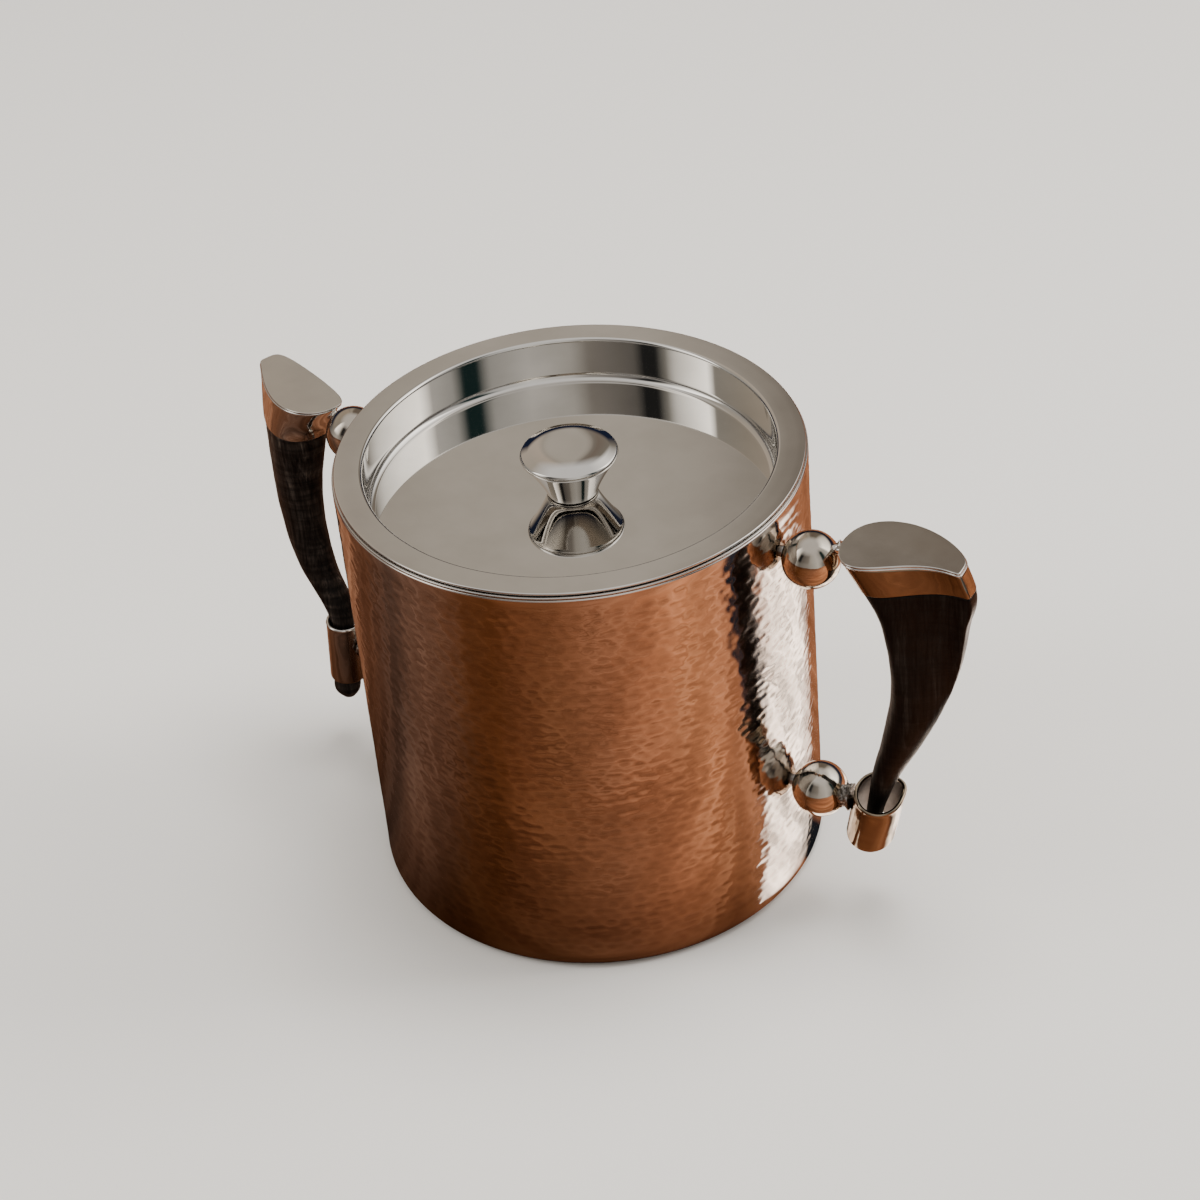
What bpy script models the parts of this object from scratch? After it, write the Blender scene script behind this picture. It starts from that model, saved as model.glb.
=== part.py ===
"""Double-walled ice bucket: hammered shell, plain liner, drop-in lid and two horn handles.

The origin is on the table under the middle of the bucket, +Z is up and the handles lie along
the X axis.  Sizes are in millimetres; MM turns them into metres when a mesh is made.
Neighbouring pieces are kept GAP apart.
"""
import math

import bpy
import numpy as np
from mathutils import Matrix, Vector

MM = 0.001
GAP = 0.3

# Bucket wall and rim
SHELL_RADIUS = 100.8
SHELL_THICKNESS = 1.0
SHELL_CORNER = 5.0
SHELL_TOP = 201.9
LIP_WIDTH = 7.0
LINER_RADIUS = 91.0
LINER_THICKNESS = 1.0
LINER_CORNER = 9.0
LINER_FLOOR = 10.0
RIM_TOP = 203.2
RIM_EDGE = 0.5

# Lid
LID_RADIUS = 100.0
LID_TOP = 204.8
LID_THICKNESS = 1.2
DISH_RADIUS = 87.6
DISH_FLOOR = 184.0
DISH_EDGE = 1.6
DISH_FILLET = 3.5

# Knob
KNOB_RADIUS = 20.9
KNOB_FOOT_RADIUS = 11.0
KNOB_RIM_Z = 203.4
KNOB_EDGE = 1.8
KNOB_CROWN = 4.2
KNOB_DOME = 5
KNOB_FLARE = 1.25
THREAD_RADIUS = 2.5
BORE_RADIUS = 3.0
KNOB_BORE_DEPTH = 12.0

# Handle balls and the screws that hold them
BALL_RADIUS = 12.4
BALL_HEIGHTS = (182.3, 58.3)
BALL_SEAT_RADIUS = 4.2
BALL_BORE_DEPTH = 11.0
SCREW_HEAD_ACROSS = 8.0
SCREW_HEAD_HEIGHT = 3.4
WASHER_RADIUS = 5.2
WASHER_THICKNESS = 0.9
WASHER_CLEARANCE = 0.8

# Handle caps
CAP_TOP = 192.0
CAP_PLATE = 1.2
RIGHT_CAP_BOTTOM = 177.0
RIGHT_CAP_RISE = 4.0
LEFT_CAP_BOTTOM = 172.0
LEFT_CAP_RISE = 3.5
CAP_SHEET = 1.0
CAP_STEPS = 4
HORN_STEPS = 13
HORN_CLEARANCE = 0.5
HORN_INSET = (0.3, 1.5)
RIGHT_INSET_SPAN = (120.0, 85.0)
LEFT_INSET_SPAN = (168.0, 140.0)
SLEEVE_SHEET = 1.0
CORNER_DEGREES = 47.0
CORNER_SPREAD = 24.0

ROUND = 48
KNOB_ROUND = 36
BALL_ROUND = 20
SMALL_ROUND = 12
OUTLINE_POINTS = 26

# Horn stations from the cap down: height, inner edge (x, y), outer edge (x, y), thickness.
# The cap collar is the same form, so the first two stations are the cap's top and bottom.
RIGHT_HORN = (
    (192.0, (127.9, -7.4), (178.4, 3.4), 30.0),
    (177.0, (136.6, -5.8), (184.1, 3.0), 27.0),
    (164.0, (144.4, -5.2), (181.6, 3.6), 24.0),
    (144.5, (148.0, -4.2), (178.8, 2.4), 21.5),
    (123.5, (148.2, -3.8), (173.2, 0.9), 18.5),
    (98.5, (144.0, -3.6), (162.6, -0.2), 15.0),
    (76.5, (139.2, -3.4), (151.7, -0.9), 11.5),
    (60.0, (137.0, -3.4), (145.5, -1.5), 8.6),
    (46.0, (134.5, -2.0), (141.5, -1.0), 7.0),
)
LEFT_HORN = (
    (192.0, (121.2, -10.6), (176.3, -27.1), 19.5),
    (177.0, (132.1, -11.8), (176.2, -25.0), 18.5),
    (164.0, (135.4, -10.6), (174.2, -22.6), 17.5),
    (144.5, (140.3, -10.2), (171.3, -18.7), 16.0),
    (123.5, (141.6, -8.6), (167.1, -14.6), 14.5),
    (98.5, (138.3, -6.9), (158.8, -8.9), 13.0),
    (76.5, (130.2, -5.0), (145.2, -3.5), 11.0),
    (60.0, (129.8, -4.5), (142.5, -3.0), 10.5),
    (44.0, (131.5, -4.5), (145.0, -3.0), 10.5),
    (34.0, (133.5, -4.5), (147.5, -3.5), 10.0),
    (27.5, (134.8, -4.0), (148.0, -3.5), 9.3),
    (23.0, (138.0, -2.5), (145.5, -2.5), 5.0),
)
# Sleeve: bottom centre, top centre, half widths radial/tangential, share of the pinched corner
RIGHT_SLEEVE = ((135.0, 5.0, 38.0), (142.5, -1.0, 67.0), 10.4, 11.8, 0.16)
LEFT_SLEEVE = ((138.2, 0.0, 38.5), (135.6, 0.0, 71.5), 8.8, 9.8, 0.0)
# Welds from the upper and the lower ball: end point of the neck and its radius
RIGHT_WELDS = (((125.3, 4.0, 189.2), 2.2), ((128.0, 0.6, 58.3), 5.0))
LEFT_WELDS = (((124.9, -1.4, 188.2), 2.0), ((127.0, 0.0, 58.3), 4.5))
# Section at the cap: lift of the inner and the outer end off the chord and width on the far and
# the near side, as shares of the thickness; exponents of both sides at both ends; blunt tip
RIGHT_LEAF = ((0.41, 0.11, 0.73, 0.48), (0.42, 0.61, 0.64, 2.60), 3.2)
LEFT_LEAF = ((0.47, 0.23, 0.83, 0.47), (0.49, 0.95, 0.22, 0.24), 2.0)
OVAL_LEAF = ((0.40, 0.40, 0.60, 0.60), (0.50, 0.50, 0.50, 0.50), 0.0)
LEAF_FROM = 170.0
OVAL_FROM = 105.0
LEAF_DRAFT = 240


def remove_all_objects():
    for obj in list(bpy.data.objects):
        bpy.data.objects.remove(obj, do_unlink=True)


def make_material(name, colour, roughness, metallic):
    mat = bpy.data.materials.new(name)
    mat.use_nodes = True
    shader = mat.node_tree.nodes["Principled BSDF"]
    shader.inputs["Base Color"].default_value = (*colour, 1.0)
    shader.inputs["Roughness"].default_value = roughness
    shader.inputs["Metallic"].default_value = metallic
    mat.diffuse_color = (*colour, 1.0)
    return mat


def add_piece(name, points, faces, mat, place=None, sharp_degrees=35.0):
    """Make one object from points in millimetres; place moves its origin."""
    mesh = bpy.data.meshes.new(name)
    mesh.from_pydata([(x * MM, y * MM, z * MM) for x, y, z in points], [], faces)
    mesh.update()
    mesh.shade_smooth()
    mesh.set_sharp_from_angle(angle=math.radians(sharp_degrees))
    mesh.materials.append(mat)
    obj = bpy.data.objects.new(name, mesh)
    bpy.context.scene.collection.objects.link(obj)
    if place is not None:
        obj.matrix_world = place
    return obj


def arc(centre_r, centre_z, radius, start_degrees, end_degrees, steps):
    """Points on an arc in the (radius, height) half plane."""
    points = []
    for i in range(steps + 1):
        angle = math.radians(start_degrees + (end_degrees - start_degrees) * i / steps)
        points.append((centre_r + radius * math.cos(angle), centre_z + radius * math.sin(angle)))
    return points


def turned(name, profile, mat, segments=ROUND, place=None, closed=False, across_flats=None):
    """Turn a (radius, height) profile about Z.

    An open profile starts and ends on the axis and runs down the outer side; a closed one
    makes a ring.  across_flats gives, for each profile point, True where it lies on a hexagon.
    """
    points = []
    rows = []
    for index, (radius, height) in enumerate(profile):
        if radius < 1e-6:
            rows.append([len(points)])
            points.append((0.0, 0.0, height))
            continue
        row = []
        for k in range(segments):
            angle = 2.0 * math.pi * k / segments
            reach = radius
            if across_flats is not None and across_flats[index]:
                reach = radius / math.cos((angle % (math.pi / 3.0)) - math.pi / 6.0)
            row.append(len(points))
            points.append((reach * math.cos(angle), reach * math.sin(angle), height))
        rows.append(row)
    faces = []
    pairs = list(zip(rows[:-1], rows[1:]))
    if closed:
        pairs.append((rows[-1], rows[0]))
    for upper, lower in pairs:
        faces.extend(band_faces(upper, lower, segments))
    return add_piece(name, points, faces, mat, place)


def band_faces(upper, lower, count):
    """Faces between two rows of point numbers, where a row of one is a pole."""
    faces = []
    for k in range(count):
        n = (k + 1) % count
        if len(upper) == 1:
            faces.append((upper[0], lower[k], lower[n]))
        elif len(lower) == 1:
            faces.append((upper[k], lower[0], upper[n]))
        else:
            faces.append((upper[k], lower[k], lower[n], upper[n]))
    return faces


def lofted(name, rings, mat, place=None, closed=False):
    """Join rings of points, listed from the top down and anticlockwise from above."""
    count = len(rings[0])
    points = [tuple(point) for ring in rings for point in ring]
    rows = [[r * count + k for k in range(count)] for r in range(len(rings))]
    if not closed:
        for ring, at_start in ((rings[0], True), (rings[-1], False)):
            centre = [sum(point[axis] for point in ring) / count for axis in range(3)]
            row = [len(points)]
            points.append(tuple(centre))
            if at_start:
                rows.insert(0, row)
            else:
                rows.append(row)
    pairs = list(zip(rows[:-1], rows[1:]))
    if closed:
        pairs.append((rows[-1], rows[0]))
    faces = []
    for upper, lower in pairs:
        faces.extend(band_faces(upper, lower, count))
    return add_piece(name, points, faces, mat, place)


def cut(target, cutter):
    """Subtract a hidden cutter from a piece."""
    cutter.hide_render = True
    cutter.display_type = "WIRE"
    modifier = target.modifiers.new("cut_" + cutter.name, "BOOLEAN")
    modifier.operation = "DIFFERENCE"
    modifier.object = cutter


def peak(a, b):
    """Largest value of s**a * (1 - s)**b."""
    return (a / (a + b)) ** a * (b / (a + b)) ** b


def even_loop(points, count):
    """Points spaced evenly along a closed loop, from its first point."""
    closed = np.concatenate((points, points[:1]))
    steps = np.linalg.norm(np.diff(closed, axis=0), axis=1)
    run = np.concatenate(((0.0,), np.cumsum(steps)))
    wanted = run[-1] * (np.arange(count) + 0.5) / count
    return np.column_stack([np.interp(wanted, run, closed[:, axis]) for axis in (0, 1)])


def leaf_outline(inner, outer, thickness, leaf, inset):
    """Closed section about a chord: a rounded heel at the inner end and a blunter tip."""
    (heel, toe, far, near), (a, b, c, d), tip = leaf
    inner = np.array(inner)
    outer = np.array(outer)
    along = (outer - inner) / np.linalg.norm(outer - inner)
    across = np.array((-along[1], along[0]))
    start = inner + across * (heel * thickness)
    chord = outer + across * (toe * thickness) - start
    length = np.linalg.norm(chord)
    along = chord / length
    across = np.array((-along[1], along[0]))
    half = LEAF_DRAFT // 2
    s = 0.5 * (1.0 - np.cos(math.pi * np.arange(half + 1) / half))
    far_side = far * thickness * s ** a * (1.0 - s) ** b / peak(a, b) + tip * s ** 8
    near_side = -near * thickness * s ** c * (1.0 - s) ** d / peak(c, d) - tip * s ** 3
    along_all = np.concatenate((s, s[::-1][1:-1])) * length
    across_all = np.concatenate((near_side, far_side[::-1][1:-1]))
    draft = start + along * along_all[:, None] + across * across_all[:, None]
    for _ in range(6):
        draft = 0.5 * draft + 0.25 * (np.roll(draft, 1, axis=0) + np.roll(draft, -1, axis=0))
    ahead = np.roll(draft, -1, axis=0) - np.roll(draft, 1, axis=0)
    ahead /= np.linalg.norm(ahead, axis=1, keepdims=True)
    draft = draft + np.column_stack((-ahead[:, 1], ahead[:, 0])) * inset
    outline = even_loop(draft, OUTLINE_POINTS)
    return outline, np.clip((outline - start) @ along / length, 0.0, 1.0)


def smooth_station(stations, height):
    """Stations blended by a Catmull-Rom curve at one height."""
    last = len(stations) - 1
    span = 0
    while span < last - 1 and height < stations[span + 1][0]:
        span += 1
    flat = np.array([(s[0], *s[1], *s[2], s[3]) for s in stations])
    p0 = flat[max(span - 1, 0)]
    p1 = flat[span]
    p2 = flat[span + 1]
    p3 = flat[min(span + 2, last)]
    t = (p1[0] - height) / (p1[0] - p2[0])
    slope_in = (p2 - p0) / (p2[0] - p0[0]) * (p2[0] - p1[0])
    slope_out = (p3 - p1) / (p3[0] - p1[0]) * (p2[0] - p1[0])
    mixed = (2 * t ** 3 - 3 * t ** 2 + 1) * p1 + (t ** 3 - 2 * t ** 2 + t) * slope_in
    mixed += (-2 * t ** 3 + 3 * t ** 2) * p2 + (t ** 3 - t ** 2) * slope_out
    return (mixed[1], mixed[2]), (mixed[3], mixed[4]), mixed[5]


def smooth_share(value, start, end):
    """0 at start, 1 at end, eased between them."""
    share = min(max((value - start) / (end - start), 0.0), 1.0)
    return share * share * (3.0 - 2.0 * share)


def blended_leaf(leaf, height):
    """The cap's section near the top, turning into an oval towards the small end."""
    share = smooth_share(height, OVAL_FROM, LEAF_FROM)
    places = [share * x + (1.0 - share) * y for x, y in zip(leaf[0], OVAL_LEAF[0])]
    powers = [share * x + (1.0 - share) * y for x, y in zip(leaf[1], OVAL_LEAF[1])]
    return places, powers, share * leaf[2]


def level_ring(stations, leaf, height, inset):
    inner, outer, thickness = smooth_station(stations, height)
    return leaf_outline(inner, outer, thickness, blended_leaf(leaf, height), inset)


def handle_ring(stations, leaf, height, inset, rise=0.0):
    """Horn section at a height; rise lifts the outer end of the ring along the horn."""
    shares = level_ring(stations, leaf, height, 0.0)[1]
    ring = []
    for k in range(OUTLINE_POINTS):
        level = height + rise * shares[k]
        outline = level_ring(stations, leaf, level, inset)[0]
        ring.append((float(outline[k][0]), float(outline[k][1]), float(level)))
    return ring


def make_bucket(steel):
    """Outer cup with a turned-in lip, and a liner whose flange lies on that lip."""
    outer = SHELL_RADIUS
    inner = SHELL_RADIUS - SHELL_THICKNESS
    lip_radius = outer - LIP_WIDTH
    profile = [(0.0, SHELL_THICKNESS)]
    profile += arc(inner - SHELL_CORNER, SHELL_THICKNESS + SHELL_CORNER, SHELL_CORNER, -90, 0, 4)
    profile += [
        (inner, SHELL_TOP - SHELL_THICKNESS),
        (lip_radius, SHELL_TOP - SHELL_THICKNESS),
        (lip_radius, SHELL_TOP),
        (outer - 1.0, SHELL_TOP),
        (outer, SHELL_TOP - 1.0),
    ]
    profile += arc(outer - SHELL_CORNER, SHELL_CORNER, SHELL_CORNER, 0, -90, 4)
    profile += [(0.0, 0.0)]
    shell = turned("outer_shell", profile, steel)

    outer = LINER_RADIUS
    inner = LINER_RADIUS - LINER_THICKNESS
    flange_bottom = SHELL_TOP + GAP
    profile = [(0.0, LINER_FLOOR + LINER_THICKNESS)]
    corner_z = LINER_FLOOR + LINER_THICKNESS + LINER_CORNER
    profile += arc(inner - LINER_CORNER, corner_z, LINER_CORNER, -90, 0, 4)
    profile += arc(inner + 1.5, RIM_TOP - 1.5, 1.5, 180, 90, 3)
    profile += arc(SHELL_RADIUS - RIM_EDGE, RIM_TOP - RIM_EDGE, RIM_EDGE, 90, -90, 3)
    profile += [(outer, flange_bottom)]
    corner = LINER_CORNER + LINER_THICKNESS
    profile += arc(outer - corner, LINER_FLOOR + corner, corner, 0, -90, 4)
    profile += [(0.0, LINER_FLOOR)]
    turned("inner_liner", profile, steel)
    return shell


def make_lid(steel, fastener_steel):
    """Pressed lid, its knob and the screw and washer under the dish."""
    top = LID_TOP
    floor = DISH_FLOOR
    under = LID_THICKNESS
    wall = DISH_RADIUS
    profile = [(BORE_RADIUS, floor)]
    profile += arc(wall - DISH_FILLET, floor + DISH_FILLET, DISH_FILLET, -90, 0, 3)
    profile += arc(wall + DISH_EDGE, top - DISH_EDGE, DISH_EDGE, 180, 90, 3)
    profile += arc(LID_RADIUS - under / 2, top - under / 2, under / 2, 90, -90, 3)
    profile += [(wall + under, top - under)]
    outer_fillet = DISH_FILLET + under
    profile += arc(wall + under - outer_fillet, floor - under + outer_fillet, outer_fillet, 0, -90, 3)
    profile += [(BORE_RADIUS, floor - under)]
    turned("lid_shell", profile, steel, closed=True)

    foot = floor + GAP
    crown = KNOB_RIM_Z + KNOB_CROWN
    profile = []
    steps = 4
    for i in range(steps):
        share = i / steps
        drop = (KNOB_CROWN - KNOB_EDGE) * share ** KNOB_DOME
        profile.append(((KNOB_RADIUS - KNOB_EDGE) * share, crown - drop))
    profile += arc(KNOB_RADIUS - KNOB_EDGE, KNOB_RIM_Z, KNOB_EDGE, 90, -90, 4)
    steps = 5
    start = Vector((KNOB_RADIUS - KNOB_EDGE, KNOB_RIM_Z - KNOB_EDGE))
    for i in range(1, steps + 1):
        share = i / steps
        height = start.y + (foot - start.y) * share
        flare = (1.0 - share) ** KNOB_FLARE
        profile.append((KNOB_FOOT_RADIUS + (start.x - KNOB_FOOT_RADIUS) * flare, height))
    profile += [
        (BORE_RADIUS, foot),
        (BORE_RADIUS, foot + KNOB_BORE_DEPTH),
        (0.0, foot + KNOB_BORE_DEPTH),
    ]
    turned("knob", profile, steel, segments=KNOB_ROUND)

    washer_top = floor - under - GAP
    washer_bottom = washer_top - WASHER_THICKNESS
    washer("knob_washer", washer_top, fastener_steel, Matrix.Identity(4))
    reach = floor + KNOB_BORE_DEPTH - 1.5
    head_top = washer_bottom - GAP
    screw("knob_screw", head_top, reach, fastener_steel, Matrix.Identity(4))


def washer(name, top, mat, place):
    bottom = top - WASHER_THICKNESS
    profile = [
        (BORE_RADIUS, top),
        (WASHER_RADIUS, top),
        (WASHER_RADIUS, bottom),
        (BORE_RADIUS, bottom),
    ]
    return turned(name, profile, mat, SMALL_ROUND, place, closed=True)


def screw(name, seat, reach, mat, place):
    """Hex screw whose head lies under the seat height and whose shank ends at reach."""
    half = SCREW_HEAD_ACROSS / 2.0
    bottom = seat - SCREW_HEAD_HEIGHT
    profile = [
        (0.0, reach),
        (THREAD_RADIUS - 0.5, reach),
        (THREAD_RADIUS, reach - 0.5),
        (THREAD_RADIUS, seat),
        (half, seat),
        (half, bottom + 0.4),
        (half - 0.4, bottom),
        (0.0, bottom),
    ]
    on_hexagon = [False, False, False, False, True, True, True, False]
    return turned(name, profile, mat, SMALL_ROUND, place, across_flats=on_hexagon)


def make_ball(side, level, height, weld_shape, place, steel, fastener_steel, shell):
    """One ball with its weld bead, its screw and washer inside the wall, and the hole for it."""
    name = f"{side}_{level}"
    centre_x = SHELL_RADIUS + GAP + BALL_RADIUS
    outward = place @ Matrix.Translation((centre_x * MM, 0.0, height * MM))
    outward = outward @ Matrix.Rotation(math.radians(90.0), 4, "Y")

    seat_depth = math.sqrt(BALL_RADIUS ** 2 - BALL_SEAT_RADIUS ** 2)
    start = math.degrees(math.asin(BALL_SEAT_RADIUS / BALL_RADIUS)) - 90.0
    profile = arc(0.0, 0.0, BALL_RADIUS, 90, start, 10)
    profile += [
        (BORE_RADIUS, -seat_depth),
        (BORE_RADIUS, -seat_depth + BALL_BORE_DEPTH),
        (0.0, -seat_depth + BALL_BORE_DEPTH),
    ]
    ball = turned(name + "_ball", profile, steel, BALL_ROUND, outward)
    weld_point, weld_radius = weld_shape
    weld(ball, name, Vector((centre_x, 0.0, height)), Vector(weld_point), weld_radius, place, steel)

    wall_inside = -(BALL_RADIUS + GAP + SHELL_THICKNESS + WASHER_CLEARANCE)
    washer(name + "_washer", wall_inside, fastener_steel, outward)
    head_seat = wall_inside - WASHER_THICKNESS - GAP
    reach = -seat_depth + BALL_BORE_DEPTH - 1.5
    screw(name + "_screw", head_seat, reach, fastener_steel, outward)

    hole = turned(
        name + "_hole",
        [(0.0, -8.0), (BORE_RADIUS, -8.0), (BORE_RADIUS, -18.0), (0.0, -18.0)],
        steel,
        SMALL_ROUND,
        outward,
    )
    cut(shell, hole)


def weld(ball, name, start, end, radius, place, steel):
    """Short tapered neck of weld that reaches from the ball towards its neighbour."""
    direction = end - start
    turn = direction.to_track_quat("Z", "Y").to_matrix().to_4x4()
    origin = Matrix.Translation(start * MM)
    length = direction.length
    profile = [
        (0.0, length),
        (radius * 0.8, length),
        (radius, length - 0.8),
        (radius * 1.15, BALL_RADIUS - 1.5),
        (0.0, BALL_RADIUS - 4.0),
    ]
    neck = turned(name + "_neck", profile, steel, 12, place @ origin @ turn)
    neck.hide_render = True
    neck.display_type = "WIRE"
    modifier = ball.modifiers.new("weld", "BOOLEAN")
    modifier.operation = "UNION"
    modifier.object = neck


def spread(start, end, steps):
    """Evenly spaced values from start to end."""
    return [start + (end - start) * i / steps for i in range(steps + 1)]


def make_cap(side, stations, leaf, bottom, rise, place, steel):
    """Collar around the top of the horn and the plate that closes it."""
    collar_top = CAP_TOP - CAP_PLATE - GAP
    levels = list(zip(spread(collar_top, bottom, CAP_STEPS), spread(0.0, rise, CAP_STEPS)))
    rings = []
    for height, lift in levels:
        rings.append(handle_ring(stations, leaf, height, 0.0, lift))
    for height, lift in reversed(levels):
        rings.append(handle_ring(stations, leaf, height, CAP_SHEET, lift))
    lofted(f"{side}_cap_collar", rings, steel, place, closed=True)
    rings = [
        handle_ring(stations, leaf, CAP_TOP, 0.4),
        handle_ring(stations, leaf, CAP_TOP - 0.4, 0.0),
        handle_ring(stations, leaf, CAP_TOP - CAP_PLATE, 0.0),
    ]
    lofted(f"{side}_cap_plate", rings, steel, place)


def make_horn(side, stations, leaf, cap_shape, inset_span, place, horn):
    """Solid horn: stepped down inside the cap, then nearly flush with it, to the small end."""
    bottom, rise = cap_shape
    inside = CAP_SHEET + HORN_CLEARANCE
    top = CAP_TOP - CAP_PLATE - GAP
    rings = []
    for height, lift in zip(spread(top, bottom, CAP_STEPS), spread(0.0, rise, CAP_STEPS)):
        rings.append(handle_ring(stations, leaf, height, inside, lift))
    shoulder = bottom - GAP
    rings.append(handle_ring(stations, leaf, shoulder, inside, rise))
    flush, slim = HORN_INSET
    heights = spread(shoulder - 0.4, stations[-1][0], HORN_STEPS)
    for index, height in enumerate(heights):
        share = smooth_share(-height, -inset_span[0], -inset_span[1])
        inset = flush + (slim - flush) * share
        rings.append(handle_ring(stations, leaf, height, inset, rise * max(0.0, 1.0 - index / 3.0)))
    lofted(f"{side}_horn_grip", rings, horn, place)


def make_sleeve(side, sleeve, place, steel):
    """Oval tube around the horn's small end, leaning with it, pinched to a corner on one side."""
    bottom, top, half_x, half_y, corner = sleeve
    bottom = Vector(bottom)
    top = Vector(top)
    axis = (top - bottom).normalized()
    across_x = Vector((1.0, 0.0, 0.0))
    across_x = (across_x - axis * across_x.dot(axis)).normalized()
    across_y = axis.cross(across_x)
    rings = []
    for centre, inset in ((top, 0.0), (bottom, 0.0), (bottom, SLEEVE_SHEET), (top, SLEEVE_SHEET)):
        ring = []
        for k in range(OUTLINE_POINTS):
            degrees = 360.0 * k / OUTLINE_POINTS
            angle = math.radians(degrees)
            away = (degrees - CORNER_DEGREES + 180.0) % 360.0 - 180.0
            pinch = 1.0 + corner * math.exp(-(away / CORNER_SPREAD) ** 2)
            point = centre + across_x * ((half_x * pinch - inset) * math.cos(angle))
            point = point + across_y * ((half_y * pinch - inset) * math.sin(angle))
            ring.append(tuple(point))
        rings.append(ring)
    lofted(f"{side}_horn_sleeve", rings, steel, place, closed=True)


def make_handle(side, turn_degrees, horn_shape, cap_shape, sleeve, welds, materials, shell):
    steel, fastener_steel, horn = materials
    stations, leaf, inset_span = horn_shape
    place = Matrix.Rotation(math.radians(turn_degrees), 4, "Z")
    make_cap(side, stations, leaf, *cap_shape, place, steel)
    make_horn(side, stations, leaf, cap_shape, inset_span, place, horn)
    make_sleeve(side, sleeve, place, steel)
    for level, height, weld_shape in zip(("upper", "lower"), BALL_HEIGHTS, welds):
        make_ball(side, level, height, weld_shape, place, steel, fastener_steel, shell)


def build():
    remove_all_objects()
    polished = make_material("polished_steel", (0.62, 0.59, 0.56), 0.12, 1.0)
    hammered = make_material("hammered_steel", (0.60, 0.56, 0.52), 0.2, 1.0)
    fastener = make_material("fastener_steel", (0.45, 0.45, 0.46), 0.35, 1.0)
    dark_horn = make_material("dark_horn", (0.022, 0.017, 0.014), 0.5, 0.0)
    shell = make_bucket(hammered)
    make_lid(polished, fastener)
    materials = (polished, fastener, dark_horn)
    make_handle(
        "right", 0.0, (RIGHT_HORN, RIGHT_LEAF, RIGHT_INSET_SPAN), (RIGHT_CAP_BOTTOM, RIGHT_CAP_RISE),
        RIGHT_SLEEVE, RIGHT_WELDS, materials, shell,
    )
    make_handle(
        "left", 180.0, (LEFT_HORN, LEFT_LEAF, LEFT_INSET_SPAN), (LEFT_CAP_BOTTOM, LEFT_CAP_RISE),
        LEFT_SLEEVE, LEFT_WELDS, materials, shell,
    )


build()
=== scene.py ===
"""Looks for the ice bucket: fine hammered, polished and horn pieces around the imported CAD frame.

Sizes are in millimetres until a mesh is made, in the CAD's own frame: the origin is on the table
under the middle of the bucket, +Z is up and the handles lie along the X axis.
"""

import math

import bpy
import numpy as np
from mathutils import Matrix, Vector


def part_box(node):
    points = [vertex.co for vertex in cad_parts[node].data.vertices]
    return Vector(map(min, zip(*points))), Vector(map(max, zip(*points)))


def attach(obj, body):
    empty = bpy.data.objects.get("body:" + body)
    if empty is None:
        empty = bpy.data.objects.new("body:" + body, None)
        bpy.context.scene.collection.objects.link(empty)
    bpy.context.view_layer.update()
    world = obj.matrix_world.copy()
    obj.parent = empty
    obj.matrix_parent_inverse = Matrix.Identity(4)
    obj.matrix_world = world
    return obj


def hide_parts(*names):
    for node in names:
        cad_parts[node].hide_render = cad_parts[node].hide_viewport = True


MM = 0.001
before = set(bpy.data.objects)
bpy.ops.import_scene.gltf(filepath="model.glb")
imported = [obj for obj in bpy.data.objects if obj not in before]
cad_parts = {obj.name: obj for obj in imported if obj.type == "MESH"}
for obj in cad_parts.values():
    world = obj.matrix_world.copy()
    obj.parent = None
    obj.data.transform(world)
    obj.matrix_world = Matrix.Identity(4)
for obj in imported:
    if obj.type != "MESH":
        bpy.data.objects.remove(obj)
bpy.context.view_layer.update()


def extent(node):
    """Lowest and highest corner of a CAD node in millimetres."""
    low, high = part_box(node)
    return low / MM, high / MM


SHELL_HIGH = extent("outer_shell")[1]
LINER_LOW, LINER_HIGH = extent("inner_liner")
LID_LOW, LID_HIGH = extent("lid_shell")
KNOB_LOW, KNOB_HIGH = extent("knob")
SCREW_LOW, SCREW_HIGH = extent("knob_screw")
WASHER_LOW, WASHER_HIGH = extent("knob_washer")

GAP = 0.3
WALL_RADIUS = SHELL_HIGH.x
WALL_TOP = SHELL_HIGH.z
WALL_SHEET = 1.0
WALL_CORNER = 5.0
LIP_WIDTH = 7.0
LINER_RADIUS = 90.0
LINER_CORNER = 9.0
RIM_TOP = LINER_HIGH.z
RIM_SHEET = 1.0
LID_RADIUS = LID_HIGH.x
LID_TOP = LID_HIGH.z
LID_SHEET = 1.2
DISH_RADIUS = 87.6
DISH_FLOOR = LID_LOW.z + LID_SHEET
DISH_EDGE = 1.6
DISH_FILLET = 3.5
KNOB_RADIUS = KNOB_HIGH.x
KNOB_FOOT_RADIUS = 11.0
KNOB_RIM_Z = 203.4
KNOB_EDGE = 1.8
KNOB_DOME = 5
KNOB_FLARE = 1.25
KNOB_CROWN = KNOB_HIGH.z - KNOB_RIM_Z
KNOB_BORE_RADIUS = 2.6
KNOB_BORE_DEPTH = 12.0
LID_BORE_RADIUS = 3.0
BALL_RADIUS = 12.4
BALL_SEAT_RADIUS = 4.2
BALL_BORE_RADIUS = 3.4
BALL_HEIGHTS = (182.3, 58.3)
BALL_CENTRE = WALL_RADIUS + GAP + BALL_RADIUS

# Hammer marks
MARK_WIDTH = 5.8
MARK_HEIGHT = 3.4
MARK_DEPTH = 0.185
MARK_SOFTNESS = 0.016
MARKED_FROM = 6.5
MARKED_TO = 198.0
SHELL_SEGMENTS = 448
SHELL_ROW = 1.06

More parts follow.
